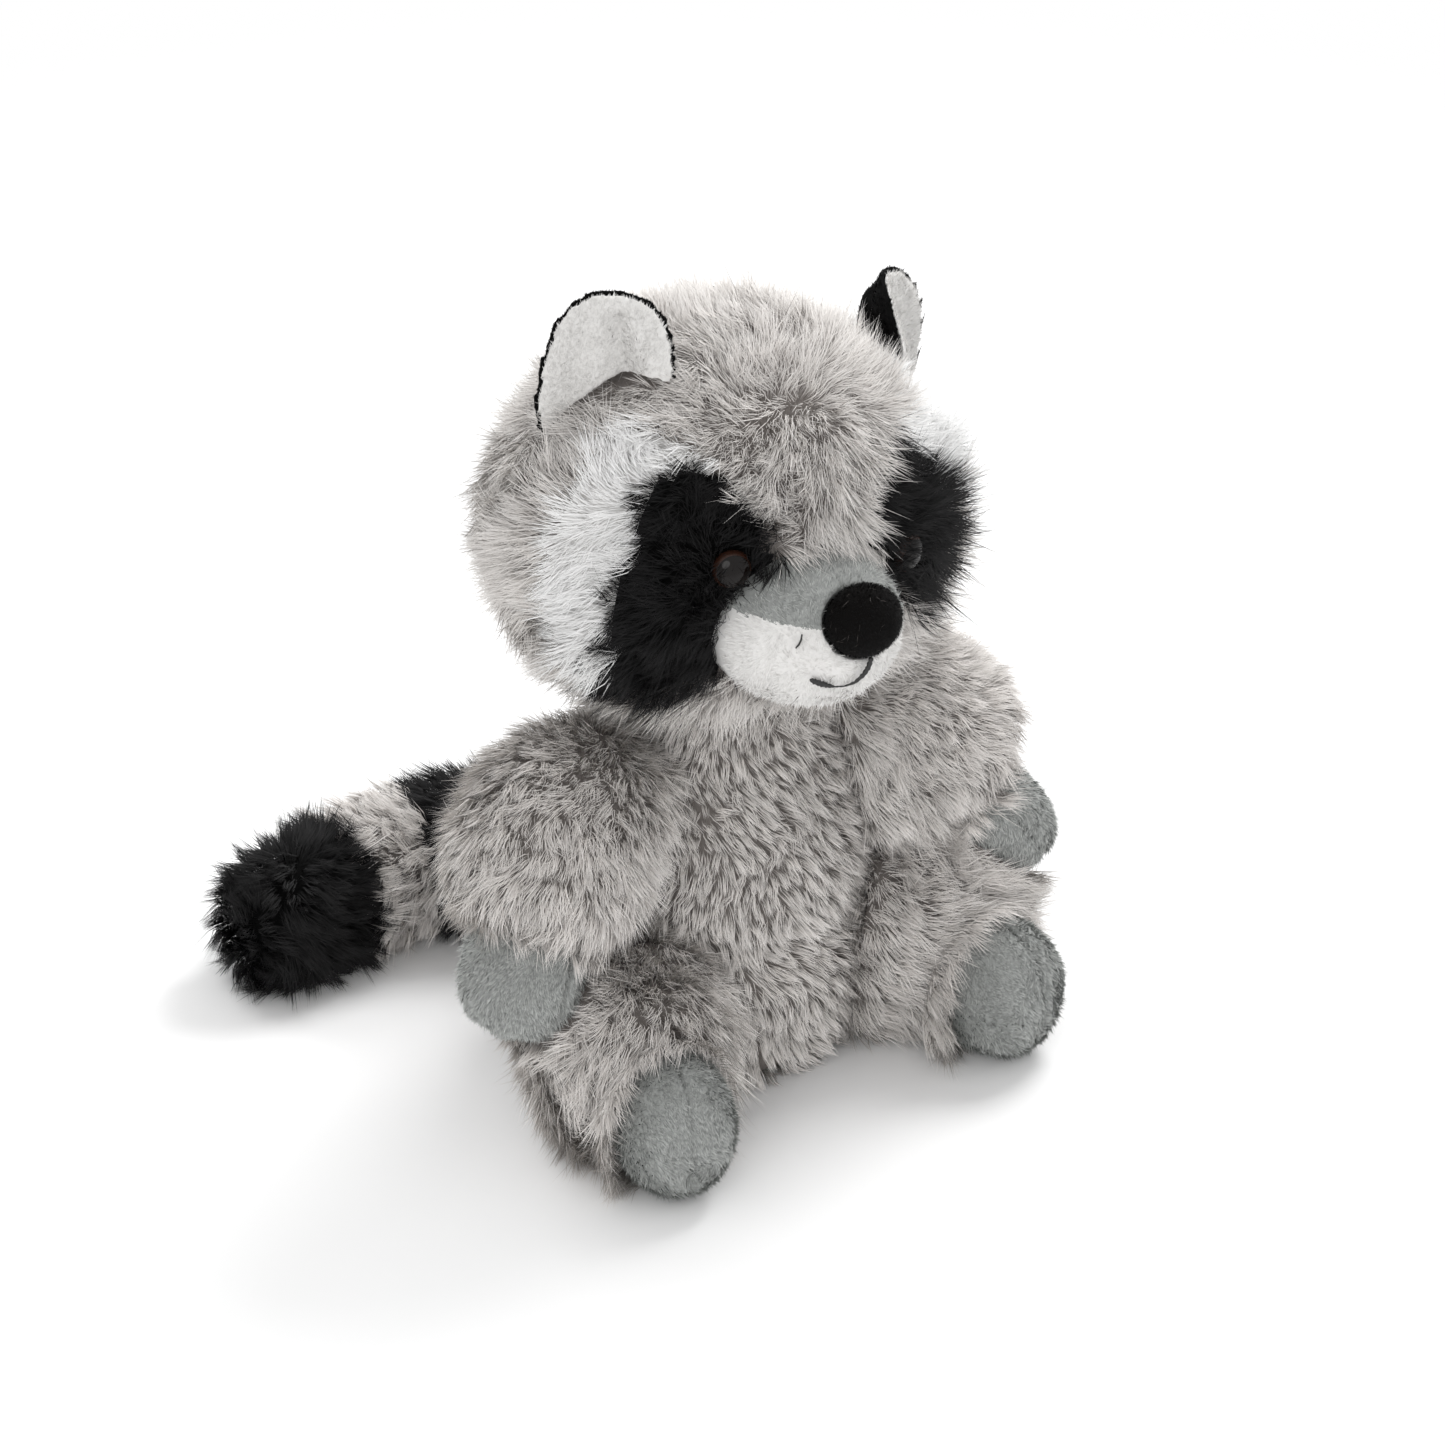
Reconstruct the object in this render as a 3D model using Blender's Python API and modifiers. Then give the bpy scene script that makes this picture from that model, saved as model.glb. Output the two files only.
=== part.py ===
# Seated plush raccoon: long-pile grey body, black eye masks with white brows, short-pile
# muzzle, ears, hands and feet, glossy plastic eyes with lock washers, and a ringed tail.
# Metres, +Z up, the face looks along -Y, the toy's left is +X, the origin is the middle of the seat.
import math

import bmesh
import bpy
from mathutils import Matrix, Vector
from mathutils.bvhtree import BVHTree

MM = 0.001
CLEARANCE = 0.3 * MM  # seam gap between two sewn panels

# Head, with its pile
HEAD_CENTRE = Vector((0, -10, 157)) * MM
HEAD_HALF_WIDTH = 64 * MM
HEAD_FRONT = 46 * MM
HEAD_BACK = 56 * MM
HEAD_CROWN = 52 * MM  # height above its middle
HEAD_CHIN = 58 * MM  # depth below its middle
HEAD_JOWL = 9 * MM  # how much wider it is at the jowls than at its middle, and narrower at the crown
HEAD_ROLL = math.radians(14)  # the left side hangs lower
HEAD_YAW = math.radians(-4)
PANEL_DEPTH = 6 * MM  # skin and pile of a face panel
PANEL_START = 4 * MM  # how far in front of the head's middle the face panels begin
MASK_OUT = 6 * MM  # of the mask's middle beyond the eye
MASK_DROP = 13.5 * MM  # of the mask's middle below the head's
MASK_HALF_WIDTH = 17.5 * MM
MASK_HALF_HEIGHT = 35.5 * MM
MASK_LEAN = math.radians(14)
CHEEK_SHIFT = 7 * MM  # of the white patch outwards from the mask
CHEEK_RISE = 3 * MM  # of the white patch above the mask
CHEEK_BAND = 5 * MM  # of the white patch beside the mask
CHEEK_TOP_BAND = 2 * MM  # of the white patch over and under the mask

# Eyes, set through the masks
EYE_SPREAD = 57 * MM
EYE_LEVEL = 0 * MM
EYE_RADIUS = 5 * MM
EYE_DOME = 3 * MM
EYE_SINK = 2 * MM  # how far its back lies under the mask's pile
SHANK_RADIUS = 1.6 * MM
SHANK_REACH = 5 * MM  # beyond the back of the mask
WASHER_RADIUS = 6 * MM
WASHER_THICKNESS = 1.4 * MM

# Muzzle and nose, in the head's frame
MUZZLE_CENTRE = Vector((0, -34, -16)) * MM
MUZZLE_HALF_WIDTH = 26 * MM
MUZZLE_REACH = 29.5 * MM
MUZZLE_HALF_HEIGHT = 22 * MM
MUZZLE_SEAM_RISE = 7 * MM  # where the grey top meets the white chin, above the muzzle's centre
MUZZLE_SEAM_TILT = math.radians(12)
NOSE_RISE = 9 * MM  # of its centre above the muzzle's
NOSE_HALF_WIDTH = 11 * MM
NOSE_HALF_DEPTH = 8 * MM
NOSE_HALF_HEIGHT = 9.5 * MM
NOSE_SINK = 1 * MM
STITCH_RADIUS = 0.6 * MM
STITCH_DROP = 6 * MM  # from the nose to the smile
SMILE_WIDTH = 13 * MM  # of each side
SMILE_RISE = 2 * MM

# Ears, in the head's frame
EAR_SEAT_X = 42.5 * MM
EAR_SEAT_Z = 21.5 * MM
EAR_SEAT_BACK = 30 * MM  # behind the head's front surface there
EAR_HALF_WIDTH = 16.5 * MM
EAR_HEIGHT = 34 * MM
EAR_FRONT_THICKNESS = 3 * MM  # how thick the white panel is
EAR_BACK_THICKNESS = 3.4 * MM
EAR_CUP = 8 * MM  # how far its sides come forward
EAR_TOP_SHARE = 0.62  # of its height lies above its widest line
EAR_TAPER = 0.06
EAR_FULLNESS = 2.8  # 2 is an oval, more is squarer
EAR_RIM = 1 * MM  # how far the black back stands past the white front
EAR_FACING = math.radians(40)  # from straight ahead
EAR_RECLINE = math.radians(5)
EAR_LEAN = math.radians(3)

# Torso: height, half width and half depth of its pile
TORSO_HEIGHT = 122 * MM
TORSO_SEAT_Y = 3 * MM
TORSO_NECK_Y = -6 * MM
TORSO_SEAT_RADIUS = 35 * MM
TORSO_BELLY_RADIUS = 45 * MM
TORSO_CHEST_RADIUS = 36 * MM
TORSO_NECK_RADIUS = 28 * MM
TORSO_LEVELS = (-0.12, 0.12, 0.42, 0.74, 1.0)  # of those radii, as shares of its height
TORSO_DEPTH_SHARE = 0.95  # depth to width

# Arms, from shoulder to cuff, for the right arm
SHOULDER = Vector((-36, -9, 104)) * MM
ELBOW = Vector((-60, -14, 80)) * MM
WRIST = Vector((-70, -17, 58)) * MM
LEFT_ARM_FORWARD = 14 * MM  # the left hand lies further forward
LEFT_ARM_INWARD = 7 * MM
LEFT_ELBOW_INWARD = 8 * MM
LEFT_ELBOW_DROP = 4 * MM  # of the left shoulder and elbow below the right
SHOULDER_RADIUS = 20 * MM
ELBOW_RADIUS = 27 * MM
CUFF_RADIUS = 30 * MM
HAND_LENGTH = 36 * MM
HAND_WIDTH = 36 * MM
HAND_THICKNESS = 27 * MM
HAND_DROP = 7 * MM  # of the hand's middle below the wrist

# Legs, from hip to ankle, for the right leg
HIP = Vector((-40, -12, 25)) * MM
KNEE = Vector((-50, -32, 25)) * MM
ANKLE = Vector((-54, -50, 22)) * MM
LEFT_LEG_INWARD = 6 * MM  # the left leg is splayed less
HIP_RADIUS = 26 * MM
KNEE_RADIUS = 27 * MM
ANKLE_RADIUS = 25 * MM
FOOT_LENGTH = 36 * MM
FOOT_WIDTH = 31 * MM
FOOT_HEIGHT = 38 * MM
FOOT_REACH = 6 * MM  # of the foot's middle beyond the ankle

# Tail, along the floor behind the toy
TAIL_ROOT = Vector((3, 34, 34)) * MM
TAIL_BEND = Vector((4, 66, 27)) * MM
TAIL_MIDDLE = Vector((-24, 86, 21)) * MM
TAIL_END = Vector((-86, 87, 19)) * MM
TAIL_ROOT_RADIUS = 17 * MM
TAIL_RADIUS = 19.5 * MM
TAIL_TIP_LENGTH = 40 * MM
TAIL_RING_LENGTH = 24 * MM

# Pile, drawn as coarse combed tufts
TUFT_HEIGHT = 3.5 * MM
TUFT_LEAN = 3 * MM
TUFT_ROOM = 0.4  # share of the way to the nearest piece that a tuft may take
SMALLEST_TUFT = 1.8 * MM
TUFT_FACE_SHARE = 0.7  # tallest tuft, as a share of the width of its face
TUFT_LEAN_SHARE = 0.3  # furthest lean, as a share of the width of its face
TUFT_RISE = 0.85  # share of its height that a leaning tuft keeps

LONG_GREY = (0.46, 0.43, 0.40), 0.95
LONG_BLACK = (0.015, 0.015, 0.017), 0.9
LONG_WHITE = (0.85, 0.85, 0.84), 0.95
SHORT_GREY = (0.31, 0.35, 0.34), 0.85
SHORT_WHITE = (0.82, 0.81, 0.80), 0.85
SHORT_BLACK = (0.012, 0.012, 0.013), 0.8
VELVET = (0.008, 0.008, 0.009), 0.7
EYE_PLASTIC = (0.03, 0.015, 0.01), 0.08
THREAD = (0.02, 0.02, 0.02), 0.6
WASHER_PLASTIC = (0.75, 0.75, 0.72), 0.4

HEAD_FRAME = (
    Matrix.Translation(HEAD_CENTRE)
    @ Matrix.Rotation(HEAD_YAW, 4, "Z")
    @ Matrix.Rotation(HEAD_ROLL, 4, "Y")
)
SIDES = {"right": -1, "left": 1}


def clear_scene():
    for obj in list(bpy.data.objects):
        bpy.data.objects.remove(obj, do_unlink=True)


def new_collection(name):
    collection = bpy.data.collections.new(name)
    bpy.context.scene.collection.children.link(collection)
    return collection


def new_material(name, finish):
    colour, roughness = finish
    material = bpy.data.materials.get(name) or bpy.data.materials.new(name)
    material.use_nodes = True
    shader = material.node_tree.nodes["Principled BSDF"]
    shader.inputs["Base Color"].default_value = (*colour, 1)
    shader.inputs["Roughness"].default_value = roughness
    shader.inputs["Metallic"].default_value = 0
    return material


def new_piece(name, bm, collection, finish=None):
    """The bmesh as an object in its place, and the bmesh freed."""
    bmesh.ops.recalc_face_normals(bm, faces=bm.faces)
    mesh = bpy.data.meshes.new(name)
    bm.to_mesh(mesh)
    bm.free()
    mesh.shade_smooth()
    piece = bpy.data.objects.new(name, mesh)
    collection.objects.link(piece)
    if finish:
        mesh.materials.append(new_material(name, finish))
    return piece


def edit(piece, change):
    """Runs change on the piece's bmesh."""
    bm = bmesh.new()
    bm.from_mesh(piece.data)
    change(bm)
    bm.normal_update()
    bm.to_mesh(piece.data)
    bm.free()


def tidy(piece):
    """Merges the specks that a Boolean leaves along its cut."""

    def merge(bm):
        bmesh.ops.remove_doubles(bm, verts=bm.verts, dist=0.01 * MM)

    edit(piece, merge)


def boolean(piece, other, operation="DIFFERENCE"):
    """Cuts, joins or intersects the piece with the other, and keeps the result as its mesh."""
    modifier = piece.modifiers.new(operation.lower(), "BOOLEAN")
    modifier.operation = operation
    modifier.solver = "EXACT"
    modifier.object = other
    graph = bpy.context.evaluated_depsgraph_get()
    mesh = bpy.data.meshes.new_from_object(piece.evaluated_get(graph))
    piece.modifiers.remove(modifier)
    piece.data = mesh
    tidy(piece)


def grown(piece, by, collection):
    """A cutter: the piece's form with its surface moved outwards."""
    cutter = piece.copy()
    cutter.data = piece.data.copy()
    cutter.name = piece.name + "_grown"
    collection.objects.link(cutter)

    def swell(bm):
        bm.normal_update()
        moves = [(v, v.normal * by) for v in bm.verts]
        for vertex, move in moves:
            vertex.co += move

    edit(cutter, swell)
    return cutter


def duplicate(piece, name, collection):
    twin = piece.copy()
    twin.data = piece.data.copy()
    twin.name = name
    collection.objects.link(twin)
    return twin


def paint(piece, finish):
    piece.data.materials.clear()
    piece.data.materials.append(new_material(piece.name, finish))


def along(points, share):
    """The point at this share of the way along a smooth curve through the points."""
    spans = len(points) - 1
    place = min(share * spans, spans - 1e-9)
    i = int(place)
    t = place - i
    p1, p2 = points[i], points[i + 1]
    p0 = points[i - 1] if i else p1 * 2 - p2
    p3 = points[i + 2] if i + 2 <= spans else p2 * 2 - p1
    return 0.5 * (
        p1 * 2 + (p2 - p0) * t + (p0 * 2 - p1 * 5 + p2 * 4 - p3) * t**2 + (p1 * 3 - p0 - p2 * 3 + p3) * t**3
    )


def ball(half_sizes, segments, rings):
    """A bmesh ellipsoid about the origin, with its poles along Z."""
    bm = bmesh.new()
    bmesh.ops.create_uvsphere(bm, u_segments=segments, v_segments=rings, radius=1)
    bmesh.ops.scale(bm, vec=half_sizes, verts=bm.verts)
    return bm


def stuffed(spine, radii, segments, rings, fullness=2.6, flat=1.0, up=Vector((0, 0, 1))):
    """A stuffed tube round a smooth spine, with rounded ends: the sphere's rings ride on the spine.

    radii has the tube's radius at each point of the spine, and flat is its thickness to its width.
    """
    bm = ball((1, 1, 1), segments, rings)
    sizes = [Vector((radius, 0)) for radius in radii]
    for vertex in bm.verts:
        share = math.acos(max(-1, min(1, vertex.co.z))) / math.pi
        turn = math.atan2(vertex.co.y, vertex.co.x)
        tangent = (along(spine, min(1, share + 0.02)) - along(spine, max(0, share - 0.02))).normalized()
        side = tangent.cross(up).normalized()
        over = side.cross(tangent)
        size = along(sizes, share).x * (1 - abs(2 * share - 1) ** fullness) ** (1 / fullness)
        offset = side * math.cos(turn) + over * math.sin(turn) * flat
        vertex.co = along(spine, share) + offset * size
    bmesh.ops.remove_doubles(bm, verts=bm.verts, dist=0.01 * MM)
    return bm


def rest_on_floor(bm):
    """Presses what lies under the floor up to it, which gives a flat seat."""
    for vertex in bm.verts:
        vertex.co.z = max(vertex.co.z, 0)


def prism(outline, near, far):
    """A closed outline in X and Z, extruded along Y."""
    bm = bmesh.new()
    ring = [bm.verts.new((x, near, z)) for x, z in outline]
    face = bm.faces.new(ring)
    raised = bmesh.ops.extrude_face_region(bm, geom=[face])["geom"]
    moved = [v for v in raised if isinstance(v, bmesh.types.BMVert)]
    bmesh.ops.translate(bm, verts=moved, vec=(0, far - near, 0))
    return bm


def oval(centre_x, centre_z, half_width, half_height, lean, count=20):
    """A leaning oval in X and Z."""
    points = []
    for k in range(count):
        turn = 2 * math.pi * k / count
        x, z = half_width * math.cos(turn), half_height * math.sin(turn)
        across = x * math.cos(lean) - z * math.sin(lean)
        rise = x * math.sin(lean) + z * math.cos(lean)
        points.append((centre_x + across, centre_z + rise))
    return points


def turned(name, profile, frame, collection, finish=None, steps=12):
    """A turned piece: the profile runs down the outer side, about the frame's Z axis."""
    bm = bmesh.new()
    points = [bm.verts.new((radius, 0, height)) for radius, height in profile]
    for a, b in zip(points, points[1:]):
        bm.edges.new((a, b))
    mesh = bpy.data.meshes.new(name)
    bm.to_mesh(mesh)
    bm.free()
    piece = bpy.data.objects.new(name, mesh)
    collection.objects.link(piece)
    screw = piece.modifiers.new("turn", "SCREW")
    screw.steps = screw.render_steps = steps
    screw.use_merge_vertices = True
    screw.merge_threshold = 0.01 * MM
    graph = bpy.context.evaluated_depsgraph_get()
    piece.data = bpy.data.meshes.new_from_object(piece.evaluated_get(graph))
    piece.modifiers.clear()
    piece.data.transform(frame)
    edit(piece, lambda b: bmesh.ops.recalc_face_normals(b, faces=b.faces))
    if finish:
        paint(piece, finish)
    return piece


def halve(form, plane_point, plane_normal, names, collection, finishes):
    """The form as two panels that meet at a plane with the seam gap between them."""
    panels = []
    for name, sign, finish in zip(names, (1, -1), finishes):
        panel = duplicate(form, name, collection)
        normal = plane_normal.normalized() * sign
        point = plane_point + normal * CLEARANCE / 2

        def cut(bm):
            everything = [*bm.verts, *bm.edges, *bm.faces]
            bmesh.ops.bisect_plane(bm, geom=everything, plane_co=point, plane_no=normal, clear_inner=True)
            bmesh.ops.holes_fill(bm, edges=[e for e in bm.edges if e.is_boundary])
            bmesh.ops.recalc_face_normals(bm, faces=bm.faces)

        edit(panel, cut)
        paint(panel, finish)
        panels.append(panel)
    return panels


def head_half_height(z):
    """The head's reach above or below its middle, whichever side of it this height is on."""
    return HEAD_CROWN if z > 0 else HEAD_CHIN


def head_half_width(z):
    """The head's half width at this height in its own frame, as if it were not rounded off."""
    return HEAD_HALF_WIDTH - HEAD_JOWL * z / head_half_height(z)


def head_front(x, z):
    """The head's front surface in its own frame, as its Y."""
    inside = 1 - (x / head_half_width(z)) ** 2 - (z / head_half_height(z)) ** 2
    return -HEAD_FRONT * math.sqrt(max(inside, 0))


def head_form(shrink=0.0, segments=24, rings=15):
    """The head's round form in its own frame, flatter at the face than behind."""
    bm = ball((1, 1, 1), segments, rings)
    for vertex in bm.verts:
        depth = HEAD_FRONT if vertex.co.y < 0 else HEAD_BACK
        height = head_half_height(vertex.co.z)
        vertex.co.x *= head_half_width(vertex.co.z * height) - shrink
        vertex.co.y *= depth - shrink
        vertex.co.z *= height - shrink
    bm.transform(HEAD_FRAME)
    return bm


def mask_outline(sign, margin=0.0):
    """The black patch: from beside the muzzle out over the eye to the cheek."""
    centre = EYE_SPREAD / 2 + MASK_OUT
    half_width = MASK_HALF_WIDTH + margin
    return oval(sign * centre, -MASK_DROP, half_width, MASK_HALF_HEIGHT + margin, -MASK_LEAN * sign)


def cheek_outline(sign, margin=0.0):
    """The white patch behind the mask, which shows as a band along its outer edge."""
    centre = EYE_SPREAD / 2 + MASK_OUT + CHEEK_SHIFT
    half_width = MASK_HALF_WIDTH + CHEEK_BAND + margin
    half_height = MASK_HALF_HEIGHT + CHEEK_TOP_BAND + margin
    return oval(sign * centre, CHEEK_RISE - MASK_DROP, half_width, half_height, -MASK_LEAN * sign)


def face_prism(name, outline, collection, longer=0.0):
    """A cutter through the face, longer at both ends where another cutter's ends would meet its own."""
    bm = prism(outline, longer - PANEL_START, -2 * HEAD_FRONT - longer)
    bm.transform(HEAD_FRAME)
    return new_piece(name, bm, collection)


def eye_frame(sign):
    """On the mask, with Z along the way that the eye looks."""
    x, z = sign * EYE_SPREAD / 2, EYE_LEVEL
    y = head_front(x, z)
    look = Vector((x / HEAD_HALF_WIDTH**2, y / HEAD_FRONT**2, z / head_half_height(z) ** 2)).normalized()
    turn = look.to_track_quat("Z", "Y").to_matrix().to_4x4()
    return HEAD_FRAME @ Matrix.Translation(Vector((x, y, z)) - look * EYE_SINK) @ turn


def eye_profile(margin=0.0):
    """The domed eye and its shank, from the top of the dome down."""
    shank_end = -(PANEL_DEPTH - EYE_SINK + SHANK_REACH)
    dome = [
        (math.cos(a) * (EYE_RADIUS + margin), math.sin(a) * (EYE_DOME + margin))
        for a in (math.pi / 2, math.pi / 3, math.pi / 6, 0)
    ]
    dome[0] = (0, EYE_DOME + margin)
    rim = -0.6 * MM - margin
    return [
        *dome,
        (EYE_RADIUS + margin, rim),
        (SHANK_RADIUS + margin, rim),
        (SHANK_RADIUS + margin, shank_end - margin),
        (0, shank_end - margin),
    ]


def make_face_panels(head, parts, cutters):
    """The masks and the white panels, each let into the head by the depth of a panel."""
    core = new_piece("head_core", head_form(PANEL_DEPTH), cutters)
    deep_core = new_piece("head_deep_core", head_form(PANEL_DEPTH + CLEARANCE), cutters)
    panels = {}
    for side, sign in SIDES.items():
        mask_prism = face_prism("mask_prism_" + side, mask_outline(sign), cutters)
        mask_room = face_prism("mask_room_" + side, mask_outline(sign, CLEARANCE), cutters, PANEL_START / 2)
        cheek_prism = face_prism("cheek_prism_" + side, cheek_outline(sign), cutters)
        pocket = face_prism("pocket_" + side, cheek_outline(sign, CLEARANCE), cutters)
        boolean(pocket, mask_room, "UNION")
        boolean(pocket, deep_core)

        mask = duplicate(head, "mask_" + side, parts)
        boolean(mask, mask_prism, "INTERSECT")
        boolean(mask, core)
        paint(mask, LONG_BLACK)

        cheek = duplicate(head, "cheek_" + side, parts)
        boolean(cheek, cheek_prism, "INTERSECT")
        boolean(cheek, mask_room)
        boolean(cheek, core)
        paint(cheek, LONG_WHITE)
        panels[side] = mask, cheek, pocket
    for _, _, pocket in panels.values():
        boolean(head, pocket)
    return panels


def make_eyes(head, panels, parts, cutters):
    """Each eye's shank goes through its mask into the head, where a washer locks it."""
    washer_rooms = []
    for side, sign in SIDES.items():
        frame = eye_frame(sign)
        turned("eye_" + side, eye_profile(), frame, parts, EYE_PLASTIC)
        room = turned("eye_room_" + side, eye_profile(CLEARANCE), frame, cutters)
        boolean(panels[side][0], room)
        boolean(head, room)

        back = -(PANEL_DEPTH - EYE_SINK) - 2 * CLEARANCE
        bore = SHANK_RADIUS + CLEARANCE
        washer = [
            (bore, back),
            (WASHER_RADIUS, back),
            (WASHER_RADIUS, back - WASHER_THICKNESS),
            (bore, back - WASHER_THICKNESS),
            (bore, back),
        ]
        turned("eye_washer_" + side, washer, frame, parts, WASHER_PLASTIC)
        pocket = [
            (0, 0),
            (WASHER_RADIUS + CLEARANCE, 0),
            (WASHER_RADIUS + CLEARANCE, back - WASHER_THICKNESS - CLEARANCE),
            (0, back - WASHER_THICKNESS - CLEARANCE),
        ]
        washer_room = turned("washer_room_" + side, pocket, frame, cutters)
        boolean(head, washer_room)
        washer_rooms.append(washer_room)
        seat = [(0, back + CLEARANCE), (WASHER_RADIUS + CLEARANCE, back + CLEARANCE), *pocket[2:]]
        boolean(panels[side][0], turned("washer_seat_" + side, seat, frame, cutters))
    return washer_rooms


def muzzle_front(x, z):
    """The muzzle's front surface in the head's frame, as its Y."""
    across = (x - MUZZLE_CENTRE.x) / MUZZLE_HALF_WIDTH
    rise = (z - MUZZLE_CENTRE.z) / MUZZLE_HALF_HEIGHT
    return MUZZLE_CENTRE.y - MUZZLE_REACH * math.sqrt(max(1 - across**2 - rise**2, 0))


def make_muzzle(head, panels, washer_rooms, parts, cutters):
    bm = ball((MUZZLE_HALF_WIDTH, MUZZLE_REACH, MUZZLE_HALF_HEIGHT), 18, 10)
    bm.transform(HEAD_FRAME @ Matrix.Translation(MUZZLE_CENTRE))
    form = new_piece("muzzle_form", bm, cutters)
    room = grown(form, CLEARANCE, cutters)
    boolean(head, room)
    for mask, cheek, _ in panels.values():
        boolean(mask, room)
        boolean(cheek, room)

    nose_z = MUZZLE_CENTRE.z + NOSE_RISE
    nose_y = muzzle_front(0, nose_z) + NOSE_SINK
    bm = ball((NOSE_HALF_WIDTH, NOSE_HALF_DEPTH, NOSE_HALF_HEIGHT), 14, 8)
    bm.transform(HEAD_FRAME @ Matrix.Translation((0, nose_y, nose_z)))
    nose = new_piece("nose", bm, parts, VELVET)

    seam_point = HEAD_FRAME @ (MUZZLE_CENTRE + Vector((0, 0, MUZZLE_SEAM_RISE)))
    seam_normal = HEAD_FRAME.to_3x3() @ Matrix.Rotation(MUZZLE_SEAM_TILT, 3, "X") @ Vector((0, 0, 1))
    names = ("muzzle_top", "muzzle_chin")
    nose_room = grown(nose, CLEARANCE, cutters)
    for panel in halve(form, seam_point, seam_normal, names, parts, (SHORT_GREY, SHORT_WHITE)):
        for other in (nose_room, *washer_rooms):
            boolean(panel, other)
    make_mouth(nose_z - NOSE_HALF_HEIGHT, parts, cutters)


def stitch_curve(name, points, collection):
    """A thread laid on the muzzle, as a closed mesh tube."""
    data = bpy.data.curves.new(name, "CURVE")
    data.dimensions = "3D"
    data.bevel_depth = STITCH_RADIUS
    data.bevel_resolution = 1
    data.use_fill_caps = True
    spline = data.splines.new("POLY")
    spline.points.add(len(points) - 1)
    for point, place in zip(spline.points, points):
        point.co = (*(HEAD_FRAME @ place), 1)
    curve = bpy.data.objects.new(name, data)
    collection.objects.link(curve)
    graph = bpy.context.evaluated_depsgraph_get()
    mesh = bpy.data.meshes.new_from_object(curve.evaluated_get(graph))
    bpy.data.objects.remove(curve)
    piece = bpy.data.objects.new(name, mesh)
    collection.objects.link(piece)

    def weld(bm):
        bmesh.ops.remove_doubles(bm, verts=bm.verts, dist=0.01 * MM)
        bmesh.ops.recalc_face_normals(bm, faces=bm.faces)

    edit(piece, weld)
    return piece


def make_mouth(nose_bottom, parts, cutters):
    """A line down from the nose that parts into a small smile."""
    lift = STITCH_RADIUS + CLEARANCE
    fork = nose_bottom - STITCH_DROP

    def laid(x, z):
        return Vector((x, muzzle_front(x, z) - lift, z))

    def smile(sign):
        shares = [k / 5 for k in range(6)]
        return [laid(sign * SMILE_WIDTH * s, fork + SMILE_RISE * (2 * s * s - s)) for s in shares]

    drop = [laid(0, nose_bottom - CLEARANCE - STITCH_DROP * k / 3) for k in range(1, 4)]
    mouth = stitch_curve("mouth_stitch", drop + smile(-1)[1:], parts)
    boolean(mouth, stitch_curve("smile_left", smile(1), cutters), "UNION")
    paint(mouth, THREAD)


def ear_frame(sign):
    """At the foot of the ear, with -Y the way that its white side faces and Z up the ear."""
    seat = Vector((sign * EAR_SEAT_X, head_front(EAR_SEAT_X, EAR_SEAT_Z) + EAR_SEAT_BACK, EAR_SEAT_Z))
    return (
        HEAD_FRAME
        @ Matrix.Translation(seat)
        @ Matrix.Rotation(sign * EAR_FACING, 4, "Z")
        @ Matrix.Rotation(-EAR_RECLINE, 4, "X")
        @ Matrix.Rotation(sign * EAR_LEAN, 4, "Y")
    )


def ear_panel(sign, way, fullest, rim=0.0):
    """One cupped panel of an ear, rounded on its way side and laid on the seam with the other."""
    bm = ball((EAR_HALF_WIDTH + rim, 1, 1), 12, 10)
    for v in bm.verts:
        if abs(v.co.z) < 0.999:
            v.co.x *= (1 - abs(v.co.z) ** EAR_FULLNESS) ** (1 / EAR_FULLNESS) / math.sqrt(1 - v.co.z**2)
        thickness = max(v.co.y * way, 0) * fullest + CLEARANCE / 2
        v.co.y = way * thickness - EAR_CUP * (v.co.x / EAR_HALF_WIDTH) ** 2
        v.co.x *= 1 - EAR_TAPER * v.co.z
        v.co.z = v.co.z * (EAR_HEIGHT * EAR_TOP_SHARE + rim) + EAR_HEIGHT * (1 - EAR_TOP_SHARE)
    bm.transform(ear_frame(sign))
    return bm


def make_ears(head_room, parts):
    """Each ear is a cupped pouch, white in front and black behind, sewn to the head at its foot."""
    for side, sign in SIDES.items():
        front = new_piece("ear_front_" + side, ear_panel(sign, -1, EAR_FRONT_THICKNESS), parts, SHORT_WHITE)
        form = ear_panel(sign, 1, EAR_BACK_THICKNESS, EAR_RIM)
        back = new_piece("ear_back_" + side, form, parts, SHORT_BLACK)
        for panel in (front, back):
            boolean(panel, head_room)


def torso_spine():
    """Heights and radii of the torso's pile."""
    lean = TORSO_NECK_Y - TORSO_SEAT_Y
    spine = [Vector((0, TORSO_SEAT_Y + lean * s, TORSO_HEIGHT * s)) for s in TORSO_LEVELS]
    belly = (TORSO_BELLY_RADIUS, TORSO_BELLY_RADIUS)
    return spine, (TORSO_SEAT_RADIUS, *belly, TORSO_CHEST_RADIUS, TORSO_NECK_RADIUS)


def make_torso(head_room, parts, cutters):
    spine, radii = torso_spine()
    bm = stuffed(spine, radii, 18, 13, fullness=4, flat=TORSO_DEPTH_SHARE, up=Vector((0, -1, 0)))
    rest_on_floor(bm)
    torso = new_piece("torso", bm, parts, LONG_GREY)
    torso_room = grown(torso, CLEARANCE, cutters)
    boolean(torso, head_room)
    return torso, torso_room


def mirrored(point, sign, forward=0.0, inward=0.0):
    """A point of the right side, or its place on the left, which may lie further forward or in."""
    if sign < 0:
        return point.copy()
    return Vector((-point.x - inward, point.y - forward, point.z))


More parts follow.
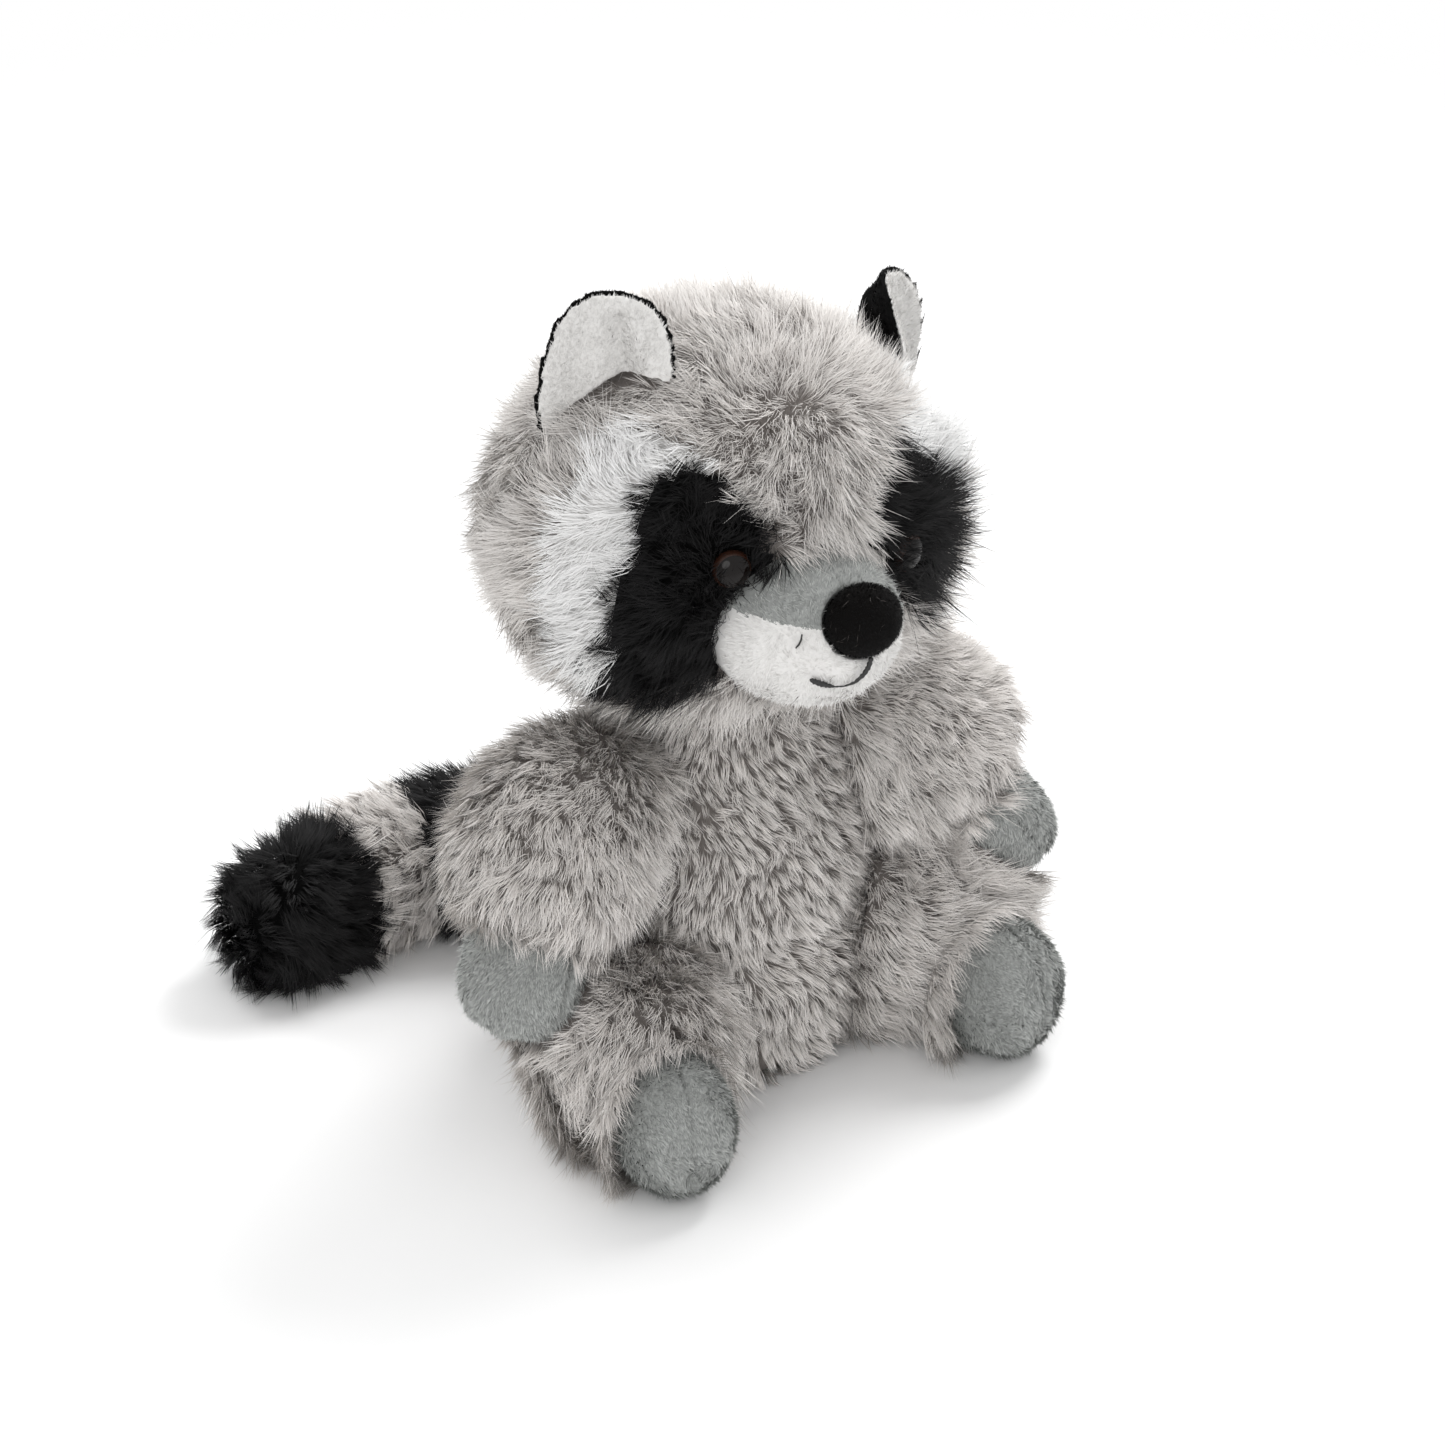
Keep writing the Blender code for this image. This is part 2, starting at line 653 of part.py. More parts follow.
def make_arm(side, sign, rooms, parts, cutters):
    """An arm with its hand's two panels. It returns the arm, and the room that it and the hand take."""
    shoulder = mirrored(SHOULDER, sign)
    elbow = mirrored(ELBOW, sign, LEFT_ARM_FORWARD / 2, LEFT_ELBOW_INWARD)
    if sign > 0:
        shoulder.z -= LEFT_ELBOW_DROP
        elbow.z -= LEFT_ELBOW_DROP
    wrist = mirrored(WRIST, sign, LEFT_ARM_FORWARD, LEFT_ARM_INWARD)
    reach = (wrist - elbow).normalized()
    spine = [shoulder, shoulder.lerp(elbow, 0.5), elbow, wrist]
    radii = (SHOULDER_RADIUS, (SHOULDER_RADIUS + ELBOW_RADIUS) / 2, ELBOW_RADIUS, CUFF_RADIUS)
    bm = stuffed(spine, radii, 14, 11, fullness=3.2, up=Vector((0, -1, 0)))
    arm = new_piece("arm_" + side, bm, parts, LONG_GREY)
    arm_room = grown(arm, CLEARANCE, cutters)

    across = Vector((0, -1, 0))
    middle = wrist + reach * HAND_DROP
    spine = [middle - reach * HAND_LENGTH / 2, middle, middle + reach * HAND_LENGTH / 2]
    radii = (HAND_WIDTH / 2,) * 3
    flat = HAND_THICKNESS / HAND_WIDTH
    bm = stuffed(spine, radii, 14, 10, fullness=2.4, flat=flat, up=across.cross(reach))
    hand = new_piece("hand_form_" + side, bm, cutters)
    hand_room = grown(hand, CLEARANCE, cutters)
    boolean(arm, hand_room)
    for room in rooms:
        boolean(arm, room)
    palm_way = reach.cross(across).normalized() * sign
    names = ("hand_back_" + side, "hand_palm_" + side)
    halve(hand, middle, palm_way, names, parts, (SHORT_GREY, SHORT_GREY))
    return arm, (arm_room, hand_room)


def make_leg(side, sign, rooms, parts, cutters):
    """A leg with its foot's outer and inner panels."""
    hip = mirrored(HIP, sign)
    knee = mirrored(KNEE, sign, 0, LEFT_LEG_INWARD / 2)
    ankle = mirrored(ANKLE, sign, 0, LEFT_LEG_INWARD)
    reach = (ankle - hip).normalized()
    reach.z = 0
    reach.normalize()
    bm = stuffed([hip, knee, ankle], (HIP_RADIUS, KNEE_RADIUS, ANKLE_RADIUS), 14, 11, fullness=3.2)
    rest_on_floor(bm)
    leg = new_piece("leg_" + side, bm, parts, LONG_GREY)

    middle = ankle + reach * FOOT_REACH
    middle.z = FOOT_HEIGHT / 2
    heel, toe = middle - reach * FOOT_LENGTH / 2, middle + reach * FOOT_LENGTH / 2
    radii = (FOOT_WIDTH / 2,) * 3
    bm = stuffed([heel, middle, toe], radii, 16, 10, fullness=2.4, flat=FOOT_HEIGHT / FOOT_WIDTH)
    rest_on_floor(bm)
    foot = new_piece("foot_form_" + side, bm, cutters)
    boolean(leg, grown(foot, CLEARANCE, cutters))
    for room in rooms:
        boolean(leg, room)
    outwards = reach.cross(Vector((0, 0, 1))) * -sign
    names = ("foot_outer_" + side, "foot_inner_" + side)
    halve(foot, middle, outwards, names, parts, (SHORT_GREY, SHORT_GREY))
    return leg


def make_tail(torso_room, parts, cutters):
    """The tail is one stuffed tube of four rings, sewn end to end."""
    spine = [TAIL_ROOT, TAIL_BEND, TAIL_MIDDLE, TAIL_MIDDLE.lerp(TAIL_END, 0.5), TAIL_END]
    radii = (TAIL_ROOT_RADIUS, TAIL_RADIUS, TAIL_RADIUS, TAIL_RADIUS, TAIL_RADIUS)
    bm = stuffed(spine, radii, 12, 16, fullness=3.6)
    rest_on_floor(bm)
    form = new_piece("tail_form", bm, cutters)
    length = sum((along(spine, (k + 1) / 50) - along(spine, k / 50)).length for k in range(50))
    ends = [length]
    for ring in (TAIL_TIP_LENGTH, TAIL_RING_LENGTH, TAIL_RING_LENGTH):
        ends.append(ends[-1] - ring)
    names = ("tail_tip", "tail_band_grey", "tail_band_black")
    rest = form
    pieces = []
    for name, place, finish in zip(names, ends[1:], (LONG_BLACK, LONG_GREY, LONG_BLACK)):
        point, way = point_at(spine, place)
        piece, rest = halve(rest, point, way, (name, "tail_rest_" + name), parts, (finish, LONG_GREY))
        pieces.append(piece)
    for spent in [o for o in parts.objects if o.name.startswith("tail_rest_") and o != rest]:
        bpy.data.objects.remove(spent)
    rest.name = "tail_root"
    paint(rest, LONG_GREY)
    boolean(rest, torso_room)
    return [*pieces, rest]


def point_at(spine, length):
    """The spine's point at this length from its start, and the way it runs there."""
    steps = 200
    gone, before = 0.0, along(spine, 0)
    for k in range(1, steps + 1):
        here = along(spine, k / steps)
        gone += (here - before).length
        if gone >= length:
            return here, (here - before).normalized()
        before = here
    return before, (before - along(spine, 1 - 1 / steps)).normalized()


def surface_tree(pieces):
    """One search tree over the surfaces of the pieces."""
    points, faces = [], []
    for piece in pieces:
        first = len(points)
        points += [v.co.copy() for v in piece.data.vertices]
        faces += [[first + i for i in p.vertices] for p in piece.data.polygons]
    return BVHTree.FromPolygons(points, faces)


def ruffle(piece, others, source):
    """Raises a combed tuft on each open face, which flows away from the source."""
    tree = surface_tree(others)

    def room_over(face, centre):
        """The tallest tuft whose slopes keep clear of the other pieces."""
        corners = [v.co for v in face.verts]
        middles = [(a + b) / 2 for a, b in zip(corners, corners[1:] + corners[:1])]
        room = TUFT_ROOM * tree.find_nearest(centre)[3]
        for rim in corners + middles:
            for share in (0.3, 0.6, 0.85):
                distance = tree.find_nearest(centre.lerp(rim, share))[3]
                room = min(room, TUFT_ROOM * distance / (1 - share))
        return room

    def raise_tufts(bm):
        bmesh.ops.triangulate(bm, faces=[f for f in bm.faces if len(f.verts) > 4])
        bm.normal_update()
        rooms = {}
        for face in bm.faces:
            centre = face.calc_center_median()
            on_floor = centre.z < CLEARANCE and face.normal.z < 0
            size = math.sqrt(face.calc_area())
            reach = 0 if on_floor else min(TUFT_HEIGHT, room_over(face, centre), TUFT_FACE_SHARE * size)
            if reach > SMALLEST_TUFT:
                rooms[face] = reach
        plans = []
        for face, reach in rooms.items():
            centre = face.calc_center_median()
            flow = (centre - source).normalized()
            flow -= face.normal * flow.dot(face.normal)
            lean = min(TUFT_LEAN, TUFT_LEAN_SHARE * math.sqrt(face.calc_area())) * reach / TUFT_HEIGHT
            plans.append((face, centre + face.normal * reach * TUFT_RISE + flow * lean))
        for face, apex in plans:
            made = bmesh.ops.poke(bm, faces=[face])
            apex.z = max(apex.z, CLEARANCE)
            made["verts"][0].co = apex

    edit(piece, raise_tufts)


def main():
    clear_scene()
    parts = new_collection("plush_raccoon")
    cutters = new_collection("cutters")

    head = new_piece("head", head_form(), parts, LONG_GREY)
    head_room = grown(head, CLEARANCE, cutters)
    panels = make_face_panels(head, parts, cutters)
    washer_rooms = make_eyes(head, panels, parts, cutters)
    make_muzzle(head, panels, washer_rooms, parts, cutters)
    make_ears(head_room, parts)

    torso, torso_room = make_torso(head_room, parts, cutters)
    furry = {head: HEAD_FRAME @ Vector((0, -HEAD_FRONT, 0)), torso: HEAD_CENTRE}
    for side, sign in SIDES.items():
        arm, arm_rooms = make_arm(side, sign, (torso_room, head_room), parts, cutters)
        furry[arm] = mirrored(SHOULDER, sign) + Vector((0, 0, SHOULDER_RADIUS))
        leg = make_leg(side, sign, (torso_room, *arm_rooms), parts, cutters)
        furry[leg] = mirrored(HIP, sign)
        mask, cheek, _ = panels[side]
        furry[mask] = furry[cheek] = furry[head]
    for piece in make_tail(torso_room, parts, cutters):
        furry[piece] = TAIL_ROOT

    smooth = {piece: duplicate(piece, piece.name + "_smooth", cutters) for piece in parts.objects}
    for piece, source in furry.items():
        others = [form for other, form in smooth.items() if other is not piece]
        ruffle(piece, others, source)

    for cutter in cutters.objects:
        cutter.hide_render = True
        cutter.display_type = "WIRE"
    cutters.hide_render = True


main()
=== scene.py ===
# Seated plush raccoon: pile, velvet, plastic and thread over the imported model.
import math

import bmesh
import bpy
import numpy as np
from mathutils import Matrix, Vector, kdtree
from mathutils.bvhtree import BVHTree


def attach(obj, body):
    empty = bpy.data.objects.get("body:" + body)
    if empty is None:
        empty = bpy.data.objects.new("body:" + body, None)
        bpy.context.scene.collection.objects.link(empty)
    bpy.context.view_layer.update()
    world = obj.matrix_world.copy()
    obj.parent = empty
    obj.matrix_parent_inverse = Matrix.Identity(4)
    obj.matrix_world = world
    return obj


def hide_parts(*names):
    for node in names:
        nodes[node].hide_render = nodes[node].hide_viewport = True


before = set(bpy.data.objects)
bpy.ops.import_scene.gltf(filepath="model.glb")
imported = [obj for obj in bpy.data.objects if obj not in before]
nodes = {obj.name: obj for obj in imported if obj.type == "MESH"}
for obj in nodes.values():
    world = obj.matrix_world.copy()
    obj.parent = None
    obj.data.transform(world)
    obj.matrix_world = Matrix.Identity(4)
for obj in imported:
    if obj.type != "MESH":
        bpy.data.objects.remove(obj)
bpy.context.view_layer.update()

mm = 0.001
sides = {"right": -1, "left": 1}

headSet = dict(
    centre=(0, -10, 157), halfWidth=64, front=46, back=56, crown=52, chin=58, jowl=9,
    roll=14, yaw=-4, inset=5.5, rows=48, columns=72,
)
headFrame = (
    Matrix.Translation(Vector(headSet["centre"]) * mm)
    @ Matrix.Rotation(math.radians(headSet["yaw"]), 4, "Z")
    @ Matrix.Rotation(math.radians(headSet["roll"]), 4, "Y")
)


def newMaterial(name, roughness=0.7, **fixed):
    # a Principled shader with its constant values on its own sockets
    material = bpy.data.materials.new(name)
    material.use_nodes = True
    shader = material.node_tree.nodes["Principled BSDF"]
    shader.inputs["Roughness"].default_value = roughness
    for socket, value in fixed.items():
        shader.inputs[socket.replace("_", " ")].default_value = value
    return material, material.node_tree, shader


def pileGroup():
    # colour along a hair, from its root to its tip, with each hair a little lighter or darker
    group = bpy.data.node_groups.new("hairColour", "ShaderNodeTree")
    for name in ("Root", "Middle", "Tip"):
        group.interface.new_socket(name, in_out="INPUT", socket_type="NodeSocketColor")
    group.interface.new_socket("Spread", in_out="INPUT", socket_type="NodeSocketFloat")
    group.interface.new_socket("Color", in_out="OUTPUT", socket_type="NodeSocketColor")
    tree, link = group.nodes, group.links.new
    given, out = tree.new("NodeGroupInput"), tree.new("NodeGroupOutput")
    place, split = tree.new("ShaderNodeUVMap"), tree.new("ShaderNodeSeparateXYZ")
    place.uv_map = "OFBake"
    link(place.outputs["UV"], split.inputs["Vector"])
    steps = []
    for low, high in ((0.0, 0.5), (0.45, 1.0)):
        step = tree.new("ShaderNodeMapRange")
        step.inputs["From Min"].default_value = low
        step.inputs["From Max"].default_value = high
        link(split.outputs["Y"], step.inputs["Value"])
        steps.append(step)
    lower, upper = tree.new("ShaderNodeMix"), tree.new("ShaderNodeMix")
    for mix in (lower, upper):
        mix.data_type = "RGBA"
    link(steps[0].outputs["Result"], lower.inputs["Factor"])
    link(given.outputs["Root"], lower.inputs["A"])
    link(given.outputs["Middle"], lower.inputs["B"])
    link(steps[1].outputs["Result"], upper.inputs["Factor"])
    link(lower.outputs["Result"], upper.inputs["A"])
    link(given.outputs["Tip"], upper.inputs["B"])
    # each hair's own shade, from 1 - spread to 1 + spread
    shade, low, high = tree.new("ShaderNodeMapRange"), tree.new("ShaderNodeMath"), tree.new("ShaderNodeMath")
    low.operation, high.operation = "SUBTRACT", "ADD"
    for side in (low, high):
        side.inputs[0].default_value = 1
        link(given.outputs["Spread"], side.inputs[1])
    link(split.outputs["X"], shade.inputs["Value"])
    link(low.outputs["Value"], shade.inputs["To Min"])
    link(high.outputs["Value"], shade.inputs["To Max"])
    tint = tree.new("ShaderNodeVectorMath")
    tint.operation = "SCALE"
    link(upper.outputs["Result"], tint.inputs["Vector"])
    link(shade.outputs["Result"], tint.inputs["Scale"])
    link(tint.outputs["Vector"], out.inputs["Color"])
    return group


def speckleGroup():
    # two colours mixed by fine noise on the piece, with the noise's height
    group = bpy.data.node_groups.new("speckle", "ShaderNodeTree")
    for name in ("Dark", "Light"):
        group.interface.new_socket(name, in_out="INPUT", socket_type="NodeSocketColor")
    group.interface.new_socket("Grain", in_out="INPUT", socket_type="NodeSocketFloat")
    group.interface.new_socket("Color", in_out="OUTPUT", socket_type="NodeSocketColor")
    group.interface.new_socket("Height", in_out="OUTPUT", socket_type="NodeSocketFloat")
    tree, link = group.nodes, group.links.new
    given, out = tree.new("NodeGroupInput"), tree.new("NodeGroupOutput")
    place, noise = tree.new("ShaderNodeTexCoord"), tree.new("ShaderNodeTexNoise")
    mix = tree.new("ShaderNodeMix")
    noise.inputs["Detail"].default_value = 4
    noise.inputs["Roughness"].default_value = 0.6
    mix.data_type = "RGBA"
    link(place.outputs["Object"], noise.inputs["Vector"])
    link(given.outputs["Grain"], noise.inputs["Scale"])
    link(noise.outputs["Fac"], mix.inputs["Factor"])
    link(given.outputs["Dark"], mix.inputs["A"])
    link(given.outputs["Light"], mix.inputs["B"])
    link(mix.outputs["Result"], out.inputs["Color"])
    link(noise.outputs["Fac"], out.inputs["Height"])
    return group


hairColour = pileGroup()
speckle = speckleGroup()


def pileFinish(name, root, middle, tip, spread=0.2, roughness=0.65, **fixed):
    material, tree, shader = newMaterial(name, roughness, **fixed)
    group = tree.nodes.new("ShaderNodeGroup")
    group.node_tree = hairColour
    for socket, colour in (("Root", root), ("Middle", middle), ("Tip", tip)):
        group.inputs[socket].default_value = (*colour, 1)
    group.inputs["Spread"].default_value = spread
    tree.links.new(group.outputs["Color"], shader.inputs["Base Color"])
    return material


def grainFinish(name, dark, light, grain, roughness=0.7, bump=0.0, depth=0.1 * mm, **fixed):
    material, tree, shader = newMaterial(name, roughness, **fixed)
    group = tree.nodes.new("ShaderNodeGroup")
    group.node_tree = speckle
    group.inputs["Dark"].default_value = (*dark, 1)
    group.inputs["Light"].default_value = (*light, 1)
    group.inputs["Grain"].default_value = grain
    tree.links.new(group.outputs["Color"], shader.inputs["Base Color"])
    if bump:
        relief = tree.nodes.new("ShaderNodeBump")
        relief.inputs["Strength"].default_value = bump
        relief.inputs["Distance"].default_value = depth
        tree.links.new(group.outputs["Height"], relief.inputs["Height"])
        tree.links.new(relief.outputs["Normal"], shader.inputs["Normal"])
    return material


finishes = {
    "longGrey": pileFinish(
        "longGreyPile", (0.16, 0.144, 0.13), (0.56, 0.528, 0.5), (0.92, 0.89, 0.865), 0.2
    ),
    # the head's copy of the grey pile with a lighter root and middle: painted light, as the head's pile
    # shows less shade between its hairs than the body's
    "crownGreyLit": pileFinish(
        "crownGreyPile", (0.28, 0.255, 0.24), (0.56, 0.53, 0.505), (0.88, 0.855, 0.83), 0.2
    ),
    # black pile whose tips are lighter than its roots: the lighter tip colour is a painted highlight, the
    # sheen on the black hairs
    "longBlack": pileFinish(
        "longBlackPile", (0.001, 0.001, 0.0012), (0.002, 0.002, 0.0022), (0.02, 0.0195, 0.02), 0.7, 0.5,
        Specular_IOR_Level=0.12,
    ),
    "longWhite": pileFinish(
        "longWhitePile", (0.84, 0.835, 0.83), (0.9, 0.895, 0.89), (0.94, 0.94, 0.935), 0.04
    ),
    "shortGrey": pileFinish(
        "shortGreyPile", (0.22, 0.23, 0.22), (0.38, 0.392, 0.38), (0.6, 0.615, 0.6), 0.25
    ),
    "shortWhite": pileFinish(
        "shortWhitePile", (0.72, 0.71, 0.695), (0.82, 0.81, 0.795), (0.9, 0.89, 0.875), 0.08
    ),
    # short black nap whose tips are lighter than its roots: the lighter tip colour is a painted highlight,
    # the sheen on the black nap
    "shortBlack": pileFinish(
        "shortBlackPile", (0.001, 0.001, 0.001), (0.003, 0.003, 0.003), (0.016, 0.0155, 0.016), 0.7, 0.6,
        Specular_IOR_Level=0.1,
    ),
    "greyBacking": grainFinish("greyBacking", (0.13, 0.115, 0.105), (0.27, 0.245, 0.23), 900, 0.9, 0.4),
    "blackBacking": grainFinish(
        "blackBacking", (0.001, 0.001, 0.001), (0.003, 0.003, 0.003), 900, 0.9, 0.4, Specular_IOR_Level=0.1
    ),
    "whiteBacking": grainFinish("whiteBacking", (0.7, 0.69, 0.675), (0.84, 0.83, 0.815), 900, 0.9, 0.5),
    "coolBacking": grainFinish("coolBacking", (0.2, 0.207, 0.2), (0.42, 0.432, 0.42), 800, 0.9, 0.6),
}


def coverTree(without=()):
    # the surface of every CAD node, to tell which panel a hair grows from
    points, faces, owners = [], [], []
    for node, piece in nodes.items():
        if node in without:
            continue
        first = len(points)
        points += [v.co.copy() for v in piece.data.vertices]
        faces += [[first + i for i in p.vertices] for p in piece.data.polygons]
        owners += [node] * len(piece.data.polygons)
    return BVHTree.FromPolygons(points, faces), owners


cover, coverOwners = coverTree()


def meshOf(name, bm):
    mesh = bpy.data.meshes.new(name)
    bm.to_mesh(mesh)
    bm.free()
    return mesh


def shown(name, mesh, finish):
    piece = bpy.data.objects.new(name, mesh)
    bpy.context.scene.collection.objects.link(piece)
    mesh.materials.clear()
    mesh.materials.append(finish)
    mesh.shade_smooth()
    return piece


def applied(piece):
    # the piece with its modifiers made part of its mesh
    graph = bpy.context.evaluated_depsgraph_get()
    mesh = bpy.data.meshes.new_from_object(piece.evaluated_get(graph))
    piece.modifiers.clear()
    piece.data = mesh
    return piece


def skinFrom(name, names, finish, voxel=3.0, rounds=14, inset=0.0, seat=0.0, sunk=0.0, plug=None):
    # the CAD pieces melted together, smoothed and drawn in under the pile, all sizes in mm
    bm = bmesh.new()
    for node in names:
        bm.from_mesh(nodes[node].data)
    if plug:  # a ball that fills the neck, inside the head
        spot, radius = Matrix.Translation(Vector(plug[0]) * mm), plug[1] * mm
        bmesh.ops.create_uvsphere(bm, u_segments=24, v_segments=16, radius=radius, matrix=spot)
    bmesh.ops.remove_doubles(bm, verts=bm.verts, dist=0.001 * mm)
    piece = shown(name, meshOf(name, bm), finish)
    remesh = piece.modifiers.new("melt", "REMESH")
    remesh.mode = "VOXEL"
    remesh.voxel_size = voxel * mm
    applied(piece)
    bm = bmesh.new()
    bm.from_mesh(piece.data)
    for k in range(rounds):
        bmesh.ops.smooth_vert(
            bm, verts=bm.verts, factor=0.5, use_axis_x=True, use_axis_y=True, use_axis_z=True
        )
    bm.normal_update()
    others = coverTree(names)[0]
    for v in bm.verts:  # where it meets another piece it goes into that piece instead
        free = min(1, max(0, others.find_nearest(v.co)[3] / mm - 1.5) / 5) if sunk else 1
        v.co += v.normal * (sunk * (1 - free) - inset * free) * mm
    if seat:  # the pile is pressed flat under it, so the skin comes down to the floor
        low = min(v.co.z for v in bm.verts)
        for v in bm.verts:
            share = min(1, (v.co.z - low) / (seat * mm))
            v.co.z -= (low - 1.2 * mm) * (1 - share * share * (3 - 2 * share))
    bm.normal_update()
    bm.to_mesh(piece.data)
    bm.free()
    piece.data.materials.clear()
    piece.data.materials.append(finish)
    piece.data.shade_smooth()
    return piece


def turned(profile, steps):
    # a closed form turned about Z, from its bottom pole to its top one. Its vertices come in the same
    # order each run, which bmesh's own sphere and spin don't promise and the random draws depend on
    bm = bmesh.new()
    low, *middle, high = profile
    bottom, top = (bm.verts.new((0, 0, height)) for _, height in (low, high))
    turns = [2 * math.pi * k / steps for k in range(steps)]
    rings = [
        [bm.verts.new((radius * math.cos(turn), radius * math.sin(turn), height)) for turn in turns]
        for radius, height in middle
    ]
    for k in range(steps):
        after = (k + 1) % steps
        bm.faces.new((bottom, rings[0][after], rings[0][k]))
        for lower, upper in zip(rings, rings[1:]):
            bm.faces.new((lower[k], lower[after], upper[after], upper[k]))
        bm.faces.new((rings[-1][k], rings[-1][after], top))
    return bm


def headSkin(name, finish):
    s = headSet
    rows = [math.pi * (k / s["rows"] - 0.5) for k in range(s["rows"] + 1)]
    bm = turned([(math.cos(row), math.sin(row)) for row in rows], s["columns"])
    for v in bm.verts:
        depth = s["front"] if v.co.y < 0 else s["back"]
        width = s["halfWidth"] - s["jowl"] * v.co.z
        height = s["crown"] if v.co.z > 0 else s["chin"]
        sizes = (width - s["inset"], depth - s["inset"], height - s["inset"])
        v.co = Vector([place * size * mm for place, size in zip(v.co, sizes)])
    bm.transform(headFrame)
    return shown(name, meshOf(name, bm), finish)


def grooved(skin, pair, depth, reach):
    # presses a shallow seam into the skin where the two CAD panels meet
    trees = [coverTree([node for node in nodes if node != panel])[0] for panel in pair]
    bm = bmesh.new()
    bm.from_mesh(skin.data)
    bm.normal_update()
    for v in bm.verts:
        far = max(tree.find_nearest(v.co)[3] for tree in trees) / (reach * mm)
        v.co -= v.normal * depth * mm * math.exp(-far * far)
    bm.normal_update()
    bm.to_mesh(skin.data)
    bm.free()


def panelled(skin, backings, inset, divide=None):
    # each face of the skin takes the backing of the CAD node outside it
    for finish in backings.values():
        if finish.name not in skin.data.materials:
            skin.data.materials.append(finish)
    places = {material.name: k for k, material in enumerate(skin.data.materials)}
    centres = np.array([face.center + face.normal * inset * mm for face in skin.data.polygons])
    owners = divide(centres) if divide else ownersOf(centres)
    for face, owner in zip(skin.data.polygons, owners):
        if owner in backings:
            face.material_index = places[backings[owner].name]


def scatter(mesh, count, rng):
    # points spread evenly over a mesh, with its smooth normals
    mesh.calc_loop_triangles()
    points = np.zeros(len(mesh.vertices) * 3)
    mesh.vertices.foreach_get("co", points)
    points = points.reshape(-1, 3)
    normals = np.zeros(len(mesh.vertices) * 3)
    mesh.vertices.foreach_get("normal", normals)
    normals = normals.reshape(-1, 3)
    corners = np.zeros(len(mesh.loop_triangles) * 3, dtype=np.int64)
    mesh.loop_triangles.foreach_get("vertices", corners)
    corners = corners.reshape(-1, 3)
    a, b, c = (points[corners[:, k]] for k in range(3))
    areas = np.linalg.norm(np.cross(b - a, c - a), axis=1)
    pick = rng.choice(len(corners), size=count, p=areas / areas.sum())
    u, v = rng.random((2, count))
    flip = u + v > 1
    u, v = np.where(flip, 1 - u, u), np.where(flip, 1 - v, v)
    weights = np.stack([1 - u - v, u, v], axis=1)[:, :, None]
    place = (points[corners[pick]] * weights).sum(axis=1)
    out = unit((normals[corners[pick]] * weights).sum(axis=1))
    return place, out


def unit(vectors):
    return vectors / np.maximum(np.linalg.norm(vectors, axis=-1, keepdims=True), 1e-12)


def wander(points, seed, size):
    # a smooth random direction that changes over about size mm
    rng = np.random.default_rng(seed)
    total = np.zeros_like(points)
    for k in range(6):
        wave = rng.normal(size=3) / (size * mm) * (1.0 + 0.5 * k)
        phase = rng.random(3) * 2 * math.pi
        total += np.sin((points @ wave)[:, None] + phase) / (1.0 + 0.4 * k)
    return total / 3


def ownersOf(points):
    # the CAD node whose surface lies nearest to each point
    return np.array([coverOwners[cover.find_nearest(p)[2]] for p in points.tolist()])


def buried(points, others, depth):
    # whether each point lies deeper than this inside another piece
    found = []
    for p in points.tolist():
        spot, normal, _, distance = others.find_nearest(p)
        found.append(distance > depth and (Vector(p) - spot).dot(normal) < 0)
    return np.array(found)


def partAround(points, axis):
    # combs hairs aside from an eye or another hard piece: points inside its round go to its rim
    origin, way, radius, depth = axis
    away = points - origin
    along = away @ way
    radial = away - along[:, None] * way
    far = np.linalg.norm(radial, axis=1)
    inside = (far < radius) & (np.abs(along) < depth)
    push = np.where(inside, radius / np.maximum(far, 1e-6), 1)[:, None]
    return points + radial * (push - 1)


